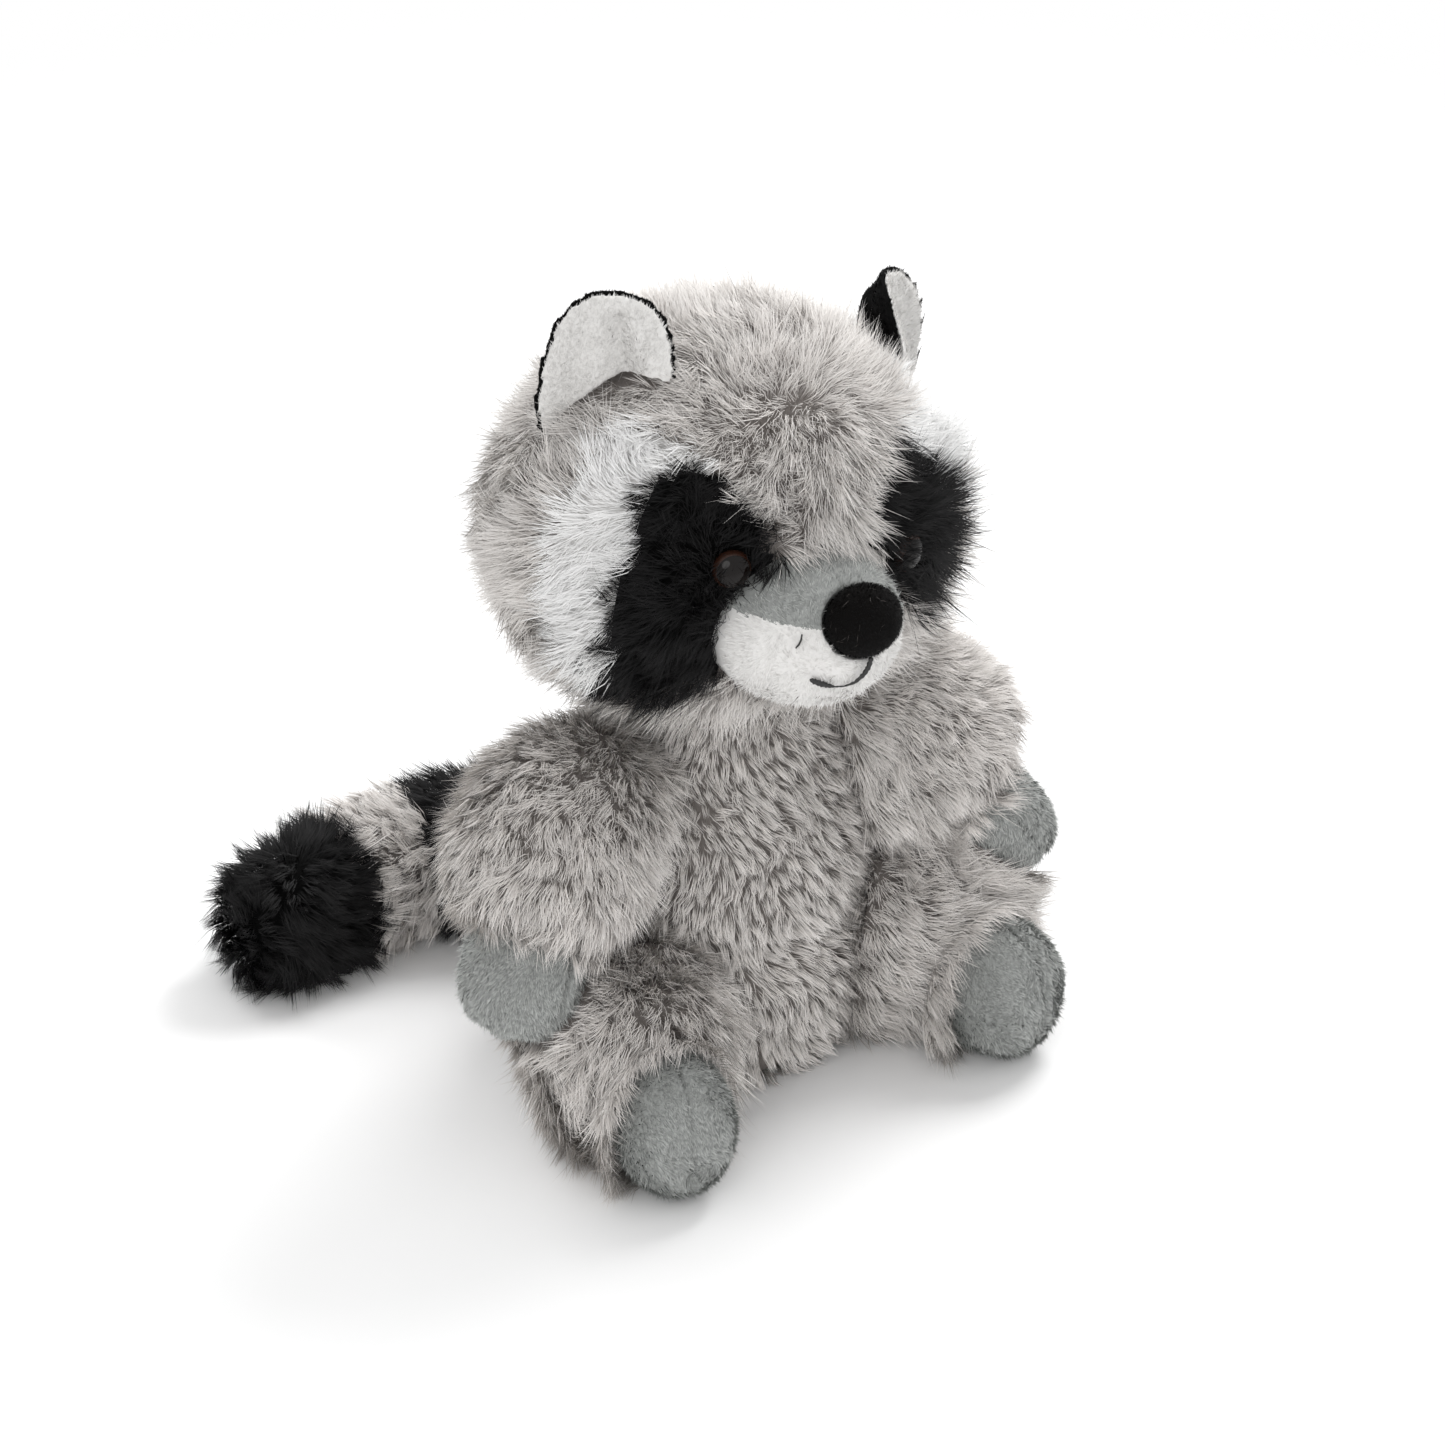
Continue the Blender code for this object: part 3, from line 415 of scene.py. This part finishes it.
def growPile(skin, outlets, settings, seed, partings=()):
    # hairs as slim tapered blades, gathered into locks. outlets has each node's piece and finish
    s = dict(
        length=9.0, lock=2.8, width=0.22, lean=0.85, rise=0.8, gather=0.45, inset=5.5, source=(0, 0, 0),
        ruffled=0.9, whorl=11.0, stray=0.5, slim=False, sources={}, frizz=0.35, clump=9.0, sway=0.0,
        overlaps=(), lengths={}, divide=None, over=None, end=None,
    )
    s.update(settings)
    rng = np.random.default_rng(seed)
    place, out = scatter(skin.data, s["count"], rng)
    found = ownersOf(place + out * s["inset"] * mm)
    known = list(outlets)
    spread = [node for node in nodes if node.startswith(s["overlaps"]) and node not in known]
    found = np.where(np.isin(found, spread), known[0], found)
    if s["over"]:  # the pile also grows over the near edge of a hand or foot
        names, middle, way, side, slant, reach, lift = s["over"]
        away = (place - np.array(middle) * mm) / mm
        near = away @ np.array(way) < reach + slant * (away @ np.array(side))
        near &= np.isin(found, names)
        place = place + out * (near * lift * mm)[:, None]
        found = np.where(near, known[0], found)
    keep = np.isin(found, known)
    if s["overlaps"]:
        own = known + (s["over"][0] if s["over"] else [])
        keep &= ~buried(place + out * 2 * mm, coverTree(own)[0], 2.5 * mm)
    place, out, found = place[keep], out[keep], found[keep]

    source = np.array([s["sources"].get(node, s["source"]) for node in outlets]) * mm
    which = np.array([list(outlets).index(node) for node in found])
    flow = unit(place - source[which]) + wander(place, seed, s["whorl"]) * s["ruffled"]
    flow = unit(flow - (flow * out).sum(axis=1)[:, None] * out)

    # locks: one middle per cell of the skin
    cell = np.floor(place / (s["lock"] * mm)).astype(np.int64)
    _, middles = np.unique(cell, axis=0, return_index=True)
    tree = kdtree.KDTree(len(middles))
    for k, index in enumerate(middles):
        tree.insert(place[index].tolist(), k)
    tree.balance()
    lock = np.array([tree.find(p)[1] for p in place.tolist()])
    count = len(middles)
    share = np.array([s["lengths"].get(node, 1.0) for node in known])
    which = np.array([known.index(node) for node in found[middles]])
    lockLength = s["length"] * mm * share[which] * (0.7 + 0.5 * rng.random(count))
    if s["end"]:  # longer towards the cuff
        middle, size, more = s["end"]
        far = np.linalg.norm(place[middles] - np.array(middle) * mm, axis=1) / (size * mm)
        lockLength *= 1 + more * np.exp(-far * far)
    _, group = np.unique(np.floor(place[middles] / (s["clump"] * mm)), axis=0, return_inverse=True)
    group = group.ravel()
    sway = rng.normal(size=(group.max() + 1, 3)) * s["sway"]  # neighbouring locks lean together
    lockFlow = unit(flow[middles] + rng.normal(size=(count, 3)) * s["stray"] + sway[group])
    lockLean = s["lean"] * (0.6 + 0.8 * rng.random(count))
    lockShade = rng.random(count)

    def rises(length, lean, out, flow):
        # the places of a hair's middle and tip from its root
        middle = (out * 0.5 * s["rise"] + flow * (0.24 * lean)[:, None]) * length[:, None]
        tip = (out * 0.8 * s["rise"] + flow * (0.9 * lean)[:, None]) * length[:, None]
        return middle, tip

    number = len(place)
    length = lockLength[lock] * (0.78 + 0.27 * rng.random(number))
    lean = lockLean[lock] * (0.8 + 0.4 * rng.random(number))
    ownFlow = unit(flow + rng.normal(size=(number, 3)) * s["frizz"])
    middle, tip = rises(length, lean, out, ownFlow)
    lockMiddle, lockTip = rises(lockLength, lockLean, out[middles], lockFlow)
    gather = s["gather"] * np.where(rng.random(number) < 0.12, 0.25, 1.0) * (0.8 + 0.2 * rng.random(number))
    shorter = (length / lockLength[lock])[:, None]
    root = place[middles][lock]
    pull = gather[:, None]
    middle = place + middle * (1 - 0.5 * pull) + (root + lockMiddle[lock] * shorter - place) * 0.5 * pull
    tip = place + tip * (1 - pull) + (root + lockTip[lock] * shorter - place) * pull
    if len(outlets) > 1:  # a lock takes the colour of the panel that its outer half shows over
        shows = root + (lockMiddle[lock] + lockTip[lock]) * 0.35
        mixed = rng.random(number) < 0.15
        shows[mixed] = (place + (middle + tip - 2 * place) * 0.35)[mixed]
        over = s["divide"](shows) if s["divide"] else ownersOf(shows)
        found = np.where(np.isin(over, list(outlets)), over, found)
    for axis in partings:
        middle, tip = partAround(middle, axis), partAround(tip, axis)
    for points in (middle, tip):
        points[:, 2] = np.maximum(points[:, 2], (0.3 + 0.9 * rng.random(number)) * mm)

    # blades lie mostly flat to the skin, each with its own twist
    way = unit(tip - place)
    across = unit(np.cross(way, out))
    over = np.cross(across, way)
    twist = rng.normal(size=number) * 0.5
    across = across * np.cos(twist)[:, None] + over * np.sin(twist)[:, None]
    half = s["width"] * mm * 0.5 * (0.75 + 0.5 * rng.random(number))[:, None]
    low, high = (place, middle) if not s["slim"] else (None, place)
    corners = [high - across * half, high + across * half, tip]
    if low is not None:
        corners.append(low)
    points = np.stack(corners, axis=1)
    points[:, :, 2] = np.maximum(points[:, :, 2], 0.15 * mm)
    face = unit(np.cross(across, way))
    face *= np.sign((face * out).sum(axis=1))[:, None]
    soft = unit(out * 0.65 + face * 0.5)
    normals = np.repeat(soft[:, None, :], len(corners), axis=1)
    shade = np.clip(0.5 + (lockShade[lock] - 0.5) * 0.5 + (rng.random(number) - 0.5) * 0.5, 0.03, 0.97)
    for node, (name, finish) in outlets.items():
        mine = found == node
        piece = bladeMesh(name, points[mine], normals[mine], shade[mine], finish)
        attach(piece, "root")
        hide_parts(node)
        print("pile", name, int(mine.sum()), "hairs")


def bladeMesh(name, points, normals, shade, finish):
    # points has each hair's two middle corners, its tip and, on long pile, its root
    number, size = points.shape[:2]
    first = np.arange(number)[:, None, None] * size
    faces = np.array([[0, 1, 2], [3, 1, 0]][: size - 2])
    corners = (faces[None] + first).reshape(-1)
    mesh = bpy.data.meshes.new(name)
    mesh.vertices.add(number * size)
    mesh.vertices.foreach_set("co", points.reshape(-1))
    mesh.loops.add(len(corners))
    mesh.loops.foreach_set("vertex_index", corners)
    mesh.polygons.add(len(corners) // 3)
    mesh.polygons.foreach_set("loop_start", np.arange(0, len(corners), 3))
    mesh.update(calc_edges=True)
    # along the hair is V, and its shade is U
    u = shade[:, None] + np.array([-0.02, 0.02, 0.0, 0.0])[:size]
    v = np.broadcast_to(np.array([0.5, 0.5, 0.99, 0.01] if size == 4 else [0.01, 0.01, 0.99]), u.shape)
    places = np.stack([u, v], axis=2).reshape(-1, 2)
    layer = mesh.uv_layers.new(name="OFBake")
    layer.data.foreach_set("uv", places[corners].reshape(-1))
    mesh.polygons.foreach_set("use_smooth", np.ones(len(corners) // 3, dtype=bool))
    mesh.normals_split_custom_set_from_vertices(normals.reshape(-1, 3))
    mesh.materials.append(finish)
    piece = bpy.data.objects.new(name, mesh)
    bpy.context.scene.collection.objects.link(piece)
    return piece


def skinPiece(piece, names):
    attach(piece, "root")
    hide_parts(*names)


eyeSet = dict(
    radius=5.0, dome=3.2, rim=0.7, iris=4.2,
    right=((-29.68, -47.32, 163.73), (-0.3915, -0.91657, 0.08143)),
    left=((24.19, -51.09, 150.27), (0.26013, -0.96213, -0.08143)),
)


def onHead(x, y, z):
    # a place given in the head's own frame, in mm
    return tuple(headFrame @ (Vector((x, y, z)) * mm) / mm)


noseSource, browSource = onHead(0, -46, -14), onHead(-4, -30, 40)
headAxes = np.array(headFrame.to_3x3()).T


panelSet = dict(
    # on each side: lean in degrees, the mask's middle and half sizes, the white patch's shift from the
    # mask and its half sizes, and how far back the white goes, all in the head's frame
    near=(5, (34.0, -12.0), (18.0, 36.0), (7.0, 4.0), (23.0, 38.0), -7.0),
    far=(-35, (36.0, 5.0), (18.0, 28.0), (15.0, 7.6), (21.0, 19.0), 8.0),
    maskBehind=6, brow=(41.0, 0.55),  # the far mask ends along a line under the white brow
)


def headPanels(points):
    # which panel the pile shows at each place. In the photo the far side doesn't mirror the near one
    s = panelSet
    local = (points - np.array(headFrame.translation)) @ headAxes.T / mm
    found = np.full(len(points), "head", dtype=object)
    for side, sign, plan in (("right", -1, "near"), ("left", 1, "far")):
        lean, middle, size, shift, band, behind = s[plan]
        turn = math.radians(lean)
        for name, off, half in (("cheek_", shift, band), ("mask_", (0, 0), size)):
            reach = behind if name == "cheek_" else s["maskBehind"]
            x, z = local[:, 0] * sign - middle[0], local[:, 2] - middle[1]
            u = x * math.cos(turn) - z * math.sin(turn) - off[0]
            w = x * math.sin(turn) + z * math.cos(turn) - off[1]
            inside = (u / half[0]) ** 2 + (w / half[1]) ** 2 < 1
            inside &= (local[:, 1] < reach) & (local[:, 0] * sign > 0)
            found[inside] = name + side
    height, slope = s["brow"]
    found[(found == "mask_left") & (local[:, 2] > height - slope * local[:, 0])] = "cheek_left"
    return found


headPile = dict(
    count=116000, inset=headSet["inset"], source=noseSource, sources={"head": browSource},
    length=10.5, lock=3.8, rise=0.82, ruffled=1.5, whorl=10, stray=0.5, gather=0.42, sway=0.5,
    frizz=0.45, divide=headPanels,
    lengths={"cheek_left": 1.7, "mask_left": 1.35, "cheek_right": 1.0, "mask_right": 1.0},
)
eyePartings = [
    (np.array(eyeSet[side][0]) * mm, np.array(eyeSet[side][1]), 3.8 * mm, 12 * mm) for side in sides
]
headNames = ["head", "mask_right", "mask_left", "cheek_right", "cheek_left"]
skin = headSkin("headSkin", finishes["greyBacking"])
growPile(
    skin,
    {
        "head": ("headPile", finishes["crownGreyLit"]),
        "mask_right": ("maskPile_right", finishes["longBlack"]),
        "mask_left": ("maskPile_left", finishes["longBlack"]),
        "cheek_right": ("cheekPile_right", finishes["longWhite"]),
        "cheek_left": ("cheekPile_left", finishes["longWhite"]),
    },
    headPile,
    11,
    eyePartings,
)
panelled(
    skin,
    {
        "mask_right": finishes["blackBacking"], "mask_left": finishes["blackBacking"],
        "cheek_right": finishes["whiteBacking"], "cheek_left": finishes["whiteBacking"],
    },
    headSet["inset"],
    headPanels,
)
skinPiece(skin, headNames)
print("head done")


furry = ("arm", "leg", "torso", "head", "cheek", "mask", "tail_root")
torsoPile = dict(
    count=84000, source=(0, -10, 175), inset=6.5, length=8.5, rise=1.0, lean=0.55, gather=0.7, overlaps=furry
)
skin = skinFrom(
    "torsoSkin", ["torso"], finishes["greyBacking"], inset=6.5, seat=20, plug=((0, -9, 112), 27)
)
for v in skin.data.vertices:
    height, front = v.co.z / mm, max(0, -v.co.y / mm - 10) / 25
    crease = 3.5 * math.exp(-(((height - 42) / 6) ** 2)) - 1.5 * math.exp(-(((height - 27) / 8) ** 2))
    v.co.y += crease * min(1, front) * mm
growPile(skin, {"torso": ("torsoPile", finishes["longGrey"])}, torsoPile, 21)
skinPiece(skin, ["torso"])
print("torso done")


armPile = dict(count=42000, inset=5.5, lean=0.75, rise=0.9, overlaps=furry)
armSource = {"right": (-18, -6, 140), "left": (18, -6, 140)}
wrist = {"right": ((-70, -17, 58), (-0.41, -0.12, -0.905)), "left": ((63, -31, 58), (0.47, -0.43, -0.77))}
legPile = dict(count=38000, inset=5.5, lean=0.75, rise=0.9, overlaps=furry)
legSource = {"right": (-14, 14, 60), "left": (14, 14, 60)}
ankle = {"right": ((-54, -50, 22), (-0.346, -0.938, 0)), "left": ((48, -50, 22), (0.21, -0.978, 0))}
for k, (side, sign) in enumerate(sides.items()):
    hand = [node + side for node in ("hand_back_", "hand_palm_")]
    skin = skinFrom(
        "armSkin_" + side, ["arm_" + side, *hand], finishes["greyBacking"], inset=5.5, rounds=6, sunk=2.5
    )
    growPile(
        skin, {"arm_" + side: ("armPile_" + side, finishes["longGrey"])},
        dict(
            armPile, source=armSource[side], end=(wrist[side][0], 26, 0.25),
            over=(hand, *wrist[side], (-sign, 0, 0), 0.45, -6, 4.5),
        ),
        31 + k,
    )
    skinPiece(skin, ["arm_" + side])
    foot = [node + side for node in ("foot_outer_", "foot_inner_")]
    skin = skinFrom(
        "legSkin_" + side, ["leg_" + side, *foot], finishes["greyBacking"], inset=5.5, rounds=6, seat=15,
        sunk=2.5,
    )
    growPile(
        skin, {"leg_" + side: ("legPile_" + side, finishes["longGrey"])},
        dict(
            legPile, source=legSource[side], end=(ankle[side][0], 26, 0.5),
            over=(foot, *ankle[side], (-0.94, 0.35, 0), 0.55, 2, 4.5),
        ),
        41 + k,
    )
    skinPiece(skin, ["leg_" + side])
print("arms and legs done")


tailPile = dict(
    count=52000, inset=6.5, length=8.8, rise=0.95, source=(3, 30, 40), gather=0.7,
    sources={"tail_tip": (-64, 87, 21)},
)
tailNames = ["tail_tip", "tail_band_grey", "tail_band_black", "tail_root"]
skin = skinFrom("tailSkin", tailNames, finishes["greyBacking"], inset=6.5, rounds=12, seat=15)
growPile(
    skin,
    {
        "tail_tip": ("tailTipPile", finishes["longBlack"]),
        "tail_band_grey": ("tailGreyPile", finishes["longGrey"]),
        "tail_band_black": ("tailBlackPile", finishes["longBlack"]),
        "tail_root": ("tailRootPile", finishes["longGrey"]),
    },
    tailPile,
    51,
)
panelled(skin, {"tail_tip": finishes["blackBacking"], "tail_band_black": finishes["blackBacking"]}, 5.5)
skinPiece(skin, tailNames)
print("tail done")


muzzleSet = dict(centre=(0, -34, -16), halfWidth=26, reach=29.5, halfHeight=22, seam=(-38, -11.5, 0.105))


def muzzleHalf(points):
    # the grey top or the white chin: their seam rises a little towards the nose
    y, z, slope = muzzleSet["seam"]
    local = (points - np.array(headFrame.translation)) @ headAxes.T / mm
    top = local[:, 2] > z + slope * (y - local[:, 1])
    return np.where(top, "muzzle_top", "muzzle_chin")


def onMuzzle(x, z, out=0.0):
    # a place on the muzzle's surface, in metres
    s = muzzleSet
    across, rise = x / s["halfWidth"], (z - s["centre"][2]) / s["halfHeight"]
    y = s["centre"][1] - s["reach"] * math.sqrt(max(1 - across * across - rise * rise, 0))
    return headFrame @ (Vector((x, y - out, z)) * mm)


shortPile = dict(
    length=2.1, lock=1.1, width=0.28, lean=0.9, rise=0.7, gather=0.35, inset=0.7, ruffled=0.7, whorl=6,
    slim=True,
)
shortPieces = [
    ("muzzle", "muzzle_top", "muzzle_chin", 20000, noseSource, ("shortGrey", "shortWhite")),
]
for side, sign in sides.items():
    grey = ("shortGrey", "shortGrey")
    shortPieces += [
        ("hand_" + side, "hand_back_" + side, "hand_palm_" + side, 17000, (sign * 66, -10, 110), grey),
        ("foot_" + side, "foot_outer_" + side, "foot_inner_" + side, 19000, (sign * 50, 10, 40), grey),
    ]
backingOf = {"shortGrey": "coolBacking", "shortWhite": "whiteBacking"}
for k, (name, front, back, count, source, pair) in enumerate(shortPieces):
    backings = [finishes[backingOf[finish]] for finish in pair]
    skin = skinFrom(name + "Skin", [front, back], backings[0], voxel=1.0, rounds=3, inset=0.4)
    divide = muzzleHalf if name == "muzzle" else None
    grooved(skin, (front, back), 0.4 if divide else 1.4, 0.8)
    if divide:
        panelled(skin, {back: backings[1]}, 0.4, divide=divide)
    growPile(
        skin,
        {node: (node + "Pile", finishes[finish]) for node, finish in zip((front, back), pair)},
        dict(shortPile, count=count, source=source, divide=divide),
        61 + k,
    )
    skinPiece(skin, [front, back])
    print("short", name)

earPile = dict(shortPile, width=0.24, inset=0.4)
earSet = dict(  # each ear's foot, then its ways across, back and up
    right=(
        (-35.7, -4.0, 188.14), (0.71135, -0.68971, -0.13519), (0.65201, 0.7194, -0.23948),
        (0.26243, 0.08221, 0.96144),
    ),
    left=(
        (46.57, -9.75, 167.58), (0.77525, 0.58576, -0.23637), (-0.58761, 0.80608, 0.07035),
        (0.23174, 0.08435, 0.96911),
    ),
    fold=((8.0, 4.0), (0.5, 27.0)), foldDepth=4.6, foldWidth=2.8,
    lobe=(11.5, 18.0), lobeRise=3.4, lobeSize=6.0,
)


def pleated(skin, side, sign):
    # a pleat runs up the ear from its foot, with a soft lobe beside it
    s = earSet
    origin, across, back, up = (np.array(v) for v in s[side])
    low, high = (np.array(v) for v in s["fold"])
    way = (high - low) / np.linalg.norm(high - low)
    for v in skin.data.vertices:
        away = np.array(v.co) / mm - origin
        x, z = -sign * (away @ across), away @ up
        along = np.clip(np.array((x, z)) @ way - low @ way, 0, np.linalg.norm(high - low))
        far = np.linalg.norm(np.array((x, z)) - low - way * along)
        fade = 1 - 0.5 * along / np.linalg.norm(high - low)
        move = s["foldDepth"] * fade * math.exp(-((far / s["foldWidth"]) ** 2))
        spot = math.hypot(x - s["lobe"][0], z - s["lobe"][1]) / s["lobeSize"]
        move -= s["lobeRise"] * math.exp(-spot * spot)
        v.co += Vector(back) * (move * mm)


for side, sign in sides.items():
    for face, finish, backing, length, seed in (
        ("front", "shortWhite", "whiteBacking", 1.3, 81), ("back", "shortBlack", "blackBacking", 0.7, 83),
    ):
        node = "ear_" + face + "_" + side
        skin = skinFrom(node + "Skin", [node], finishes[backing], voxel=0.5, rounds=4, inset=0.0)
        pleated(skin, side, sign)
        growPile(
            skin, {node: (node + "Pile", finishes[finish])},
            dict(earPile, count=11000, source=(sign * 40, -10, 150), length=length),
            seed + (sign > 0),
        )
        skinPiece(skin, [node])
print("short pile done")


def domedEye(side):
    # a moulded eye turned about its own axis, seated in the mask
    s = eyeSet
    origin, way = (Vector(v) for v in s[side])
    profile = [(0, -s["rim"])]
    profile += [(s["radius"] * 0.97, -s["rim"]), (s["radius"], -s["rim"] * 0.6)]
    for k in range(13):
        turn = math.pi / 2 * k / 12
        profile.append((s["radius"] * math.cos(turn), s["dome"] * math.sin(turn)))
    bm = turned([(x * mm, z * mm) for x, z in profile], 40)
    bm.transform(Matrix.Translation(origin * mm) @ way.to_track_quat("Z", "Y").to_matrix().to_4x4())
    return meshOf("eyeDome_" + side, bm)


finishes["eye"] = grainFinish(
    "eyePlastic", (0.003, 0.0018, 0.0015), (0.006, 0.004, 0.0035), 120, 0.06, Specular_IOR_Level=0.22,
)
finishes["velvet"] = grainFinish(
    "noseVelvet", (0.001, 0.001, 0.001), (0.005, 0.004, 0.0037), 2600, 0.85, 0.7, 0.25 * mm,
    Sheen_Weight=0.02, Sheen_Roughness=0.4, Specular_IOR_Level=0.08,
)
finishes["lint"] = pileFinish("noseLint", (0.04, 0.035, 0.03), (0.07, 0.06, 0.055), (0.1, 0.09, 0.085), 0.6)
finishes["thread"] = grainFinish("mouthThread", (0.006, 0.006, 0.006), (0.03, 0.03, 0.03), 1800, 0.55, 0.5)
finishes["washer"] = grainFinish(
    "washerPlastic", (0.7, 0.7, 0.67), (0.78, 0.78, 0.75), 300, 0.4, 0.2, 0.03 * mm
)
finishes["iris"] = grainFinish(
    "eyeRim", (0.02, 0.008, 0.005), (0.04, 0.016, 0.01), 300, 0.12, Specular_IOR_Level=0.25
)
for side in sides:
    eye = shown("eyeDome_" + side, domedEye(side), finishes["eye"])
    eye.data.materials.append(finishes["iris"])
    for face in eye.data.polygons:  # the brown shows near the edge
        middle, way = (Vector(v) for v in eyeSet[side])
        away = face.center / mm - middle
        face.material_index = int((away - away.dot(way) * way).length > eyeSet["iris"])
    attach(eye, "root")
    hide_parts("eye_" + side)
    washer = nodes["eye_washer_" + side]
    for slot in washer.material_slots:
        slot.material = finishes["washer"]

nose = skinFrom("noseVelvet", ["nose"], finishes["velvet"], voxel=0.9, rounds=8, inset=-0.1)
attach(nose, "root")
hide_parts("nose")
velvetNap = dict(
    count=9000, length=1.0, lock=0.8, width=0.16, lean=0.5, gather=0.2, inset=0.2, ruffled=0.8, whorl=5,
    source=onHead(0, -46, 20), slim=True,
)
growPile(nose, {"nose": ("noseNap", finishes["shortBlack"])}, velvetNap, 91)
lint = dict(
    velvetNap, count=110, length=3.4, width=0.06, lean=0.9, rise=0.14, gather=0, stray=2, ruffled=3,
    slim=False,
)
growPile(nose, {"nose": ("noseLint", finishes["lint"])}, lint, 92)


def tube(name, points, radii, finish, sides=10):
    # a thread along the points, rounded at both ends
    bm = bmesh.new()
    ways = [(b - a).normalized() for a, b in zip(points, points[1:])]
    ways = [ways[0]] + [(a + b).normalized() for a, b in zip(ways, ways[1:])] + [ways[-1]]
    rings = []
    for point, way, radius in zip(points, ways, radii):
        turn = way.to_track_quat("Z", "Y").to_matrix()
        ring = []
        for k in range(sides):
            angle = 2 * math.pi * k / sides
            out = turn @ Vector((math.cos(angle), math.sin(angle), 0))
            ring.append(bm.verts.new(point + out * radius * mm))
        rings.append(ring)
    for low, high in zip(rings, rings[1:]):
        for k in range(sides):
            bm.faces.new((low[k], low[(k + 1) % sides], high[(k + 1) % sides], high[k]))
    ends = ((rings[0], points[0], ways[0], -1), (rings[-1], points[-1], ways[-1], 1))
    for ring, point, way, sense in ends:
        tip = bm.verts.new(point + way * sense * radii[0] * 0.5 * mm)
        for k in range(sides):
            bm.faces.new((ring[k], ring[(k + 1) % sides], tip))
    bmesh.ops.recalc_face_normals(bm, faces=bm.faces)
    return shown(name, meshOf(name, bm), finish)


mouthPlan = [  # x and z in the head's frame, and the thread's radius
    (1.6, -15.6, 0.6), (1.5, -18.0, 0.65), (0.8, -20.2, 0.6), (-0.8, -22.6, 0.4), (-3.2, -23.8, 0.2),
    (-5.6, -24.0, 0.2), (-7.2, -23.8, 0.55), (-9.2, -23.4, 0.75), (-11.2, -22.9, 0.7), (-12.4, -22.4, 0.35),
]
finer = [
    [a + (b - a) * k / 5 for a, b in zip(one, two)]
    for one, two in zip(mouthPlan, mouthPlan[1:]) for k in range(5)
]
twist = [radius * (1 + 0.22 * math.sin(2.4 * k)) for k, (_, _, radius) in enumerate(finer)]
mouth = tube("mouthThread", [onMuzzle(x, z, 0.5) for x, z, _ in finer], twist, finishes["thread"])
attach(mouth, "root")
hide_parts("mouth_stitch")
dash = tube(
    "looseThread", [onMuzzle(-16 - 0.35 * k, -11 - 1.2 * k, 0.5 + 0.5 * math.sin(k)) for k in range(4)],
    [0.22, 0.26, 0.26, 0.18], finishes["thread"],
)
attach(dash, "root")
print("face done")


stageSet = dict(radius=1.2, world=0.78, key=9.0, fill=4.5, rim=4.0)
cameraSet = dict(  # metres and radians, fitted to the photo
    distance=6.0, nearer=0.055, span=0.36125, shift=(0.005625, 0.076375), turn=(1.0474, 0, -0.6983)
)

bm = bmesh.new()
bmesh.ops.create_circle(bm, cap_ends=True, segments=96, radius=stageSet["radius"])
floorMaterial, tree, shader = newMaterial("paleFloor", 0.9)
shader.inputs["Base Color"].default_value = (0.93, 0.93, 0.93, 1)
place, length = tree.nodes.new("ShaderNodeTexCoord"), tree.nodes.new("ShaderNodeVectorMath")
length.operation = "LENGTH"
fade = tree.nodes.new("ShaderNodeMapRange")
fade.interpolation_type = "SMOOTHSTEP"
for socket, value in (("From Min", 0.22), ("From Max", 0.55), ("To Min", 1.0), ("To Max", 0.0)):
    fade.inputs[socket].default_value = value
tree.links.new(place.outputs["Object"], length.inputs[0])
tree.links.new(length.outputs["Value"], fade.inputs["Value"])
tree.links.new(fade.outputs["Result"], shader.inputs["Alpha"])
floor = shown("paleFloor", meshOf("paleFloor", bm), floorMaterial)

world = bpy.data.worlds.new("studio")
bpy.context.scene.world = world
world.use_nodes = True
tree = world.node_tree
tree.nodes.clear()
sky, backdrop = tree.nodes.new("ShaderNodeBackground"), tree.nodes.new("ShaderNodeBackground")
mix, path, out = (tree.nodes.new("ShaderNode" + kind) for kind in ("MixShader", "LightPath", "OutputWorld"))
either = tree.nodes.new("ShaderNodeMath")
either.operation = "MAXIMUM"
sky.inputs["Strength"].default_value = stageSet["world"]
backdrop.inputs["Color"].default_value = sky.inputs["Color"].default_value = (1, 1, 1, 1)
backdrop.inputs["Strength"].default_value = 1
tree.links.new(path.outputs["Is Camera Ray"], either.inputs[0])
tree.links.new(path.outputs["Is Glossy Ray"], either.inputs[1])
tree.links.new(either.outputs["Value"], mix.inputs[0])
tree.links.new(sky.outputs[0], mix.inputs[1])
tree.links.new(backdrop.outputs[0], mix.inputs[2])
tree.links.new(mix.outputs[0], out.inputs["Surface"])


def lamp(name, place, target, size, power):
    data = bpy.data.lights.new(name, "AREA")
    data.shape, data.size, data.energy = "DISK", size, power
    light = bpy.data.objects.new(name, data)
    light.location = place
    light.rotation_euler = (Vector(target) - Vector(place)).to_track_quat("-Z", "Y").to_euler()
    bpy.context.scene.collection.objects.link(light)


lamp("keyLight", (0.75, 0.15, 1.0), (0, 0, 0.1), 0.6, stageSet["key"])
lamp("fillLight", (-0.9, -0.8, 0.7), (0, 0, 0.1), 0.9, stageSet["fill"])
lamp("rimLight", (-0.1, 1.0, 0.9), (0, 0, 0.1), 0.6, stageSet["rim"])

viewAcross, viewUp = Vector((0.766, -0.643, 0)), Vector((0.321, 0.383, 0.866))
viewBack = viewAcross.cross(viewUp)
data = bpy.data.cameras.new("camera")
data.lens = 36 * (cameraSet["distance"] - cameraSet["nearer"]) / cameraSet["span"]
data.clip_end = 20
camera = bpy.data.objects.new("camera", data)
shiftAcross, shiftUp = cameraSet["shift"]
camera.location = viewAcross * shiftAcross + viewUp * shiftUp + viewBack * cameraSet["distance"]
camera.rotation_euler = cameraSet["turn"]
bpy.context.scene.collection.objects.link(camera)
bpy.context.scene.camera = camera
bpy.context.scene.view_settings.view_transform = "Standard"
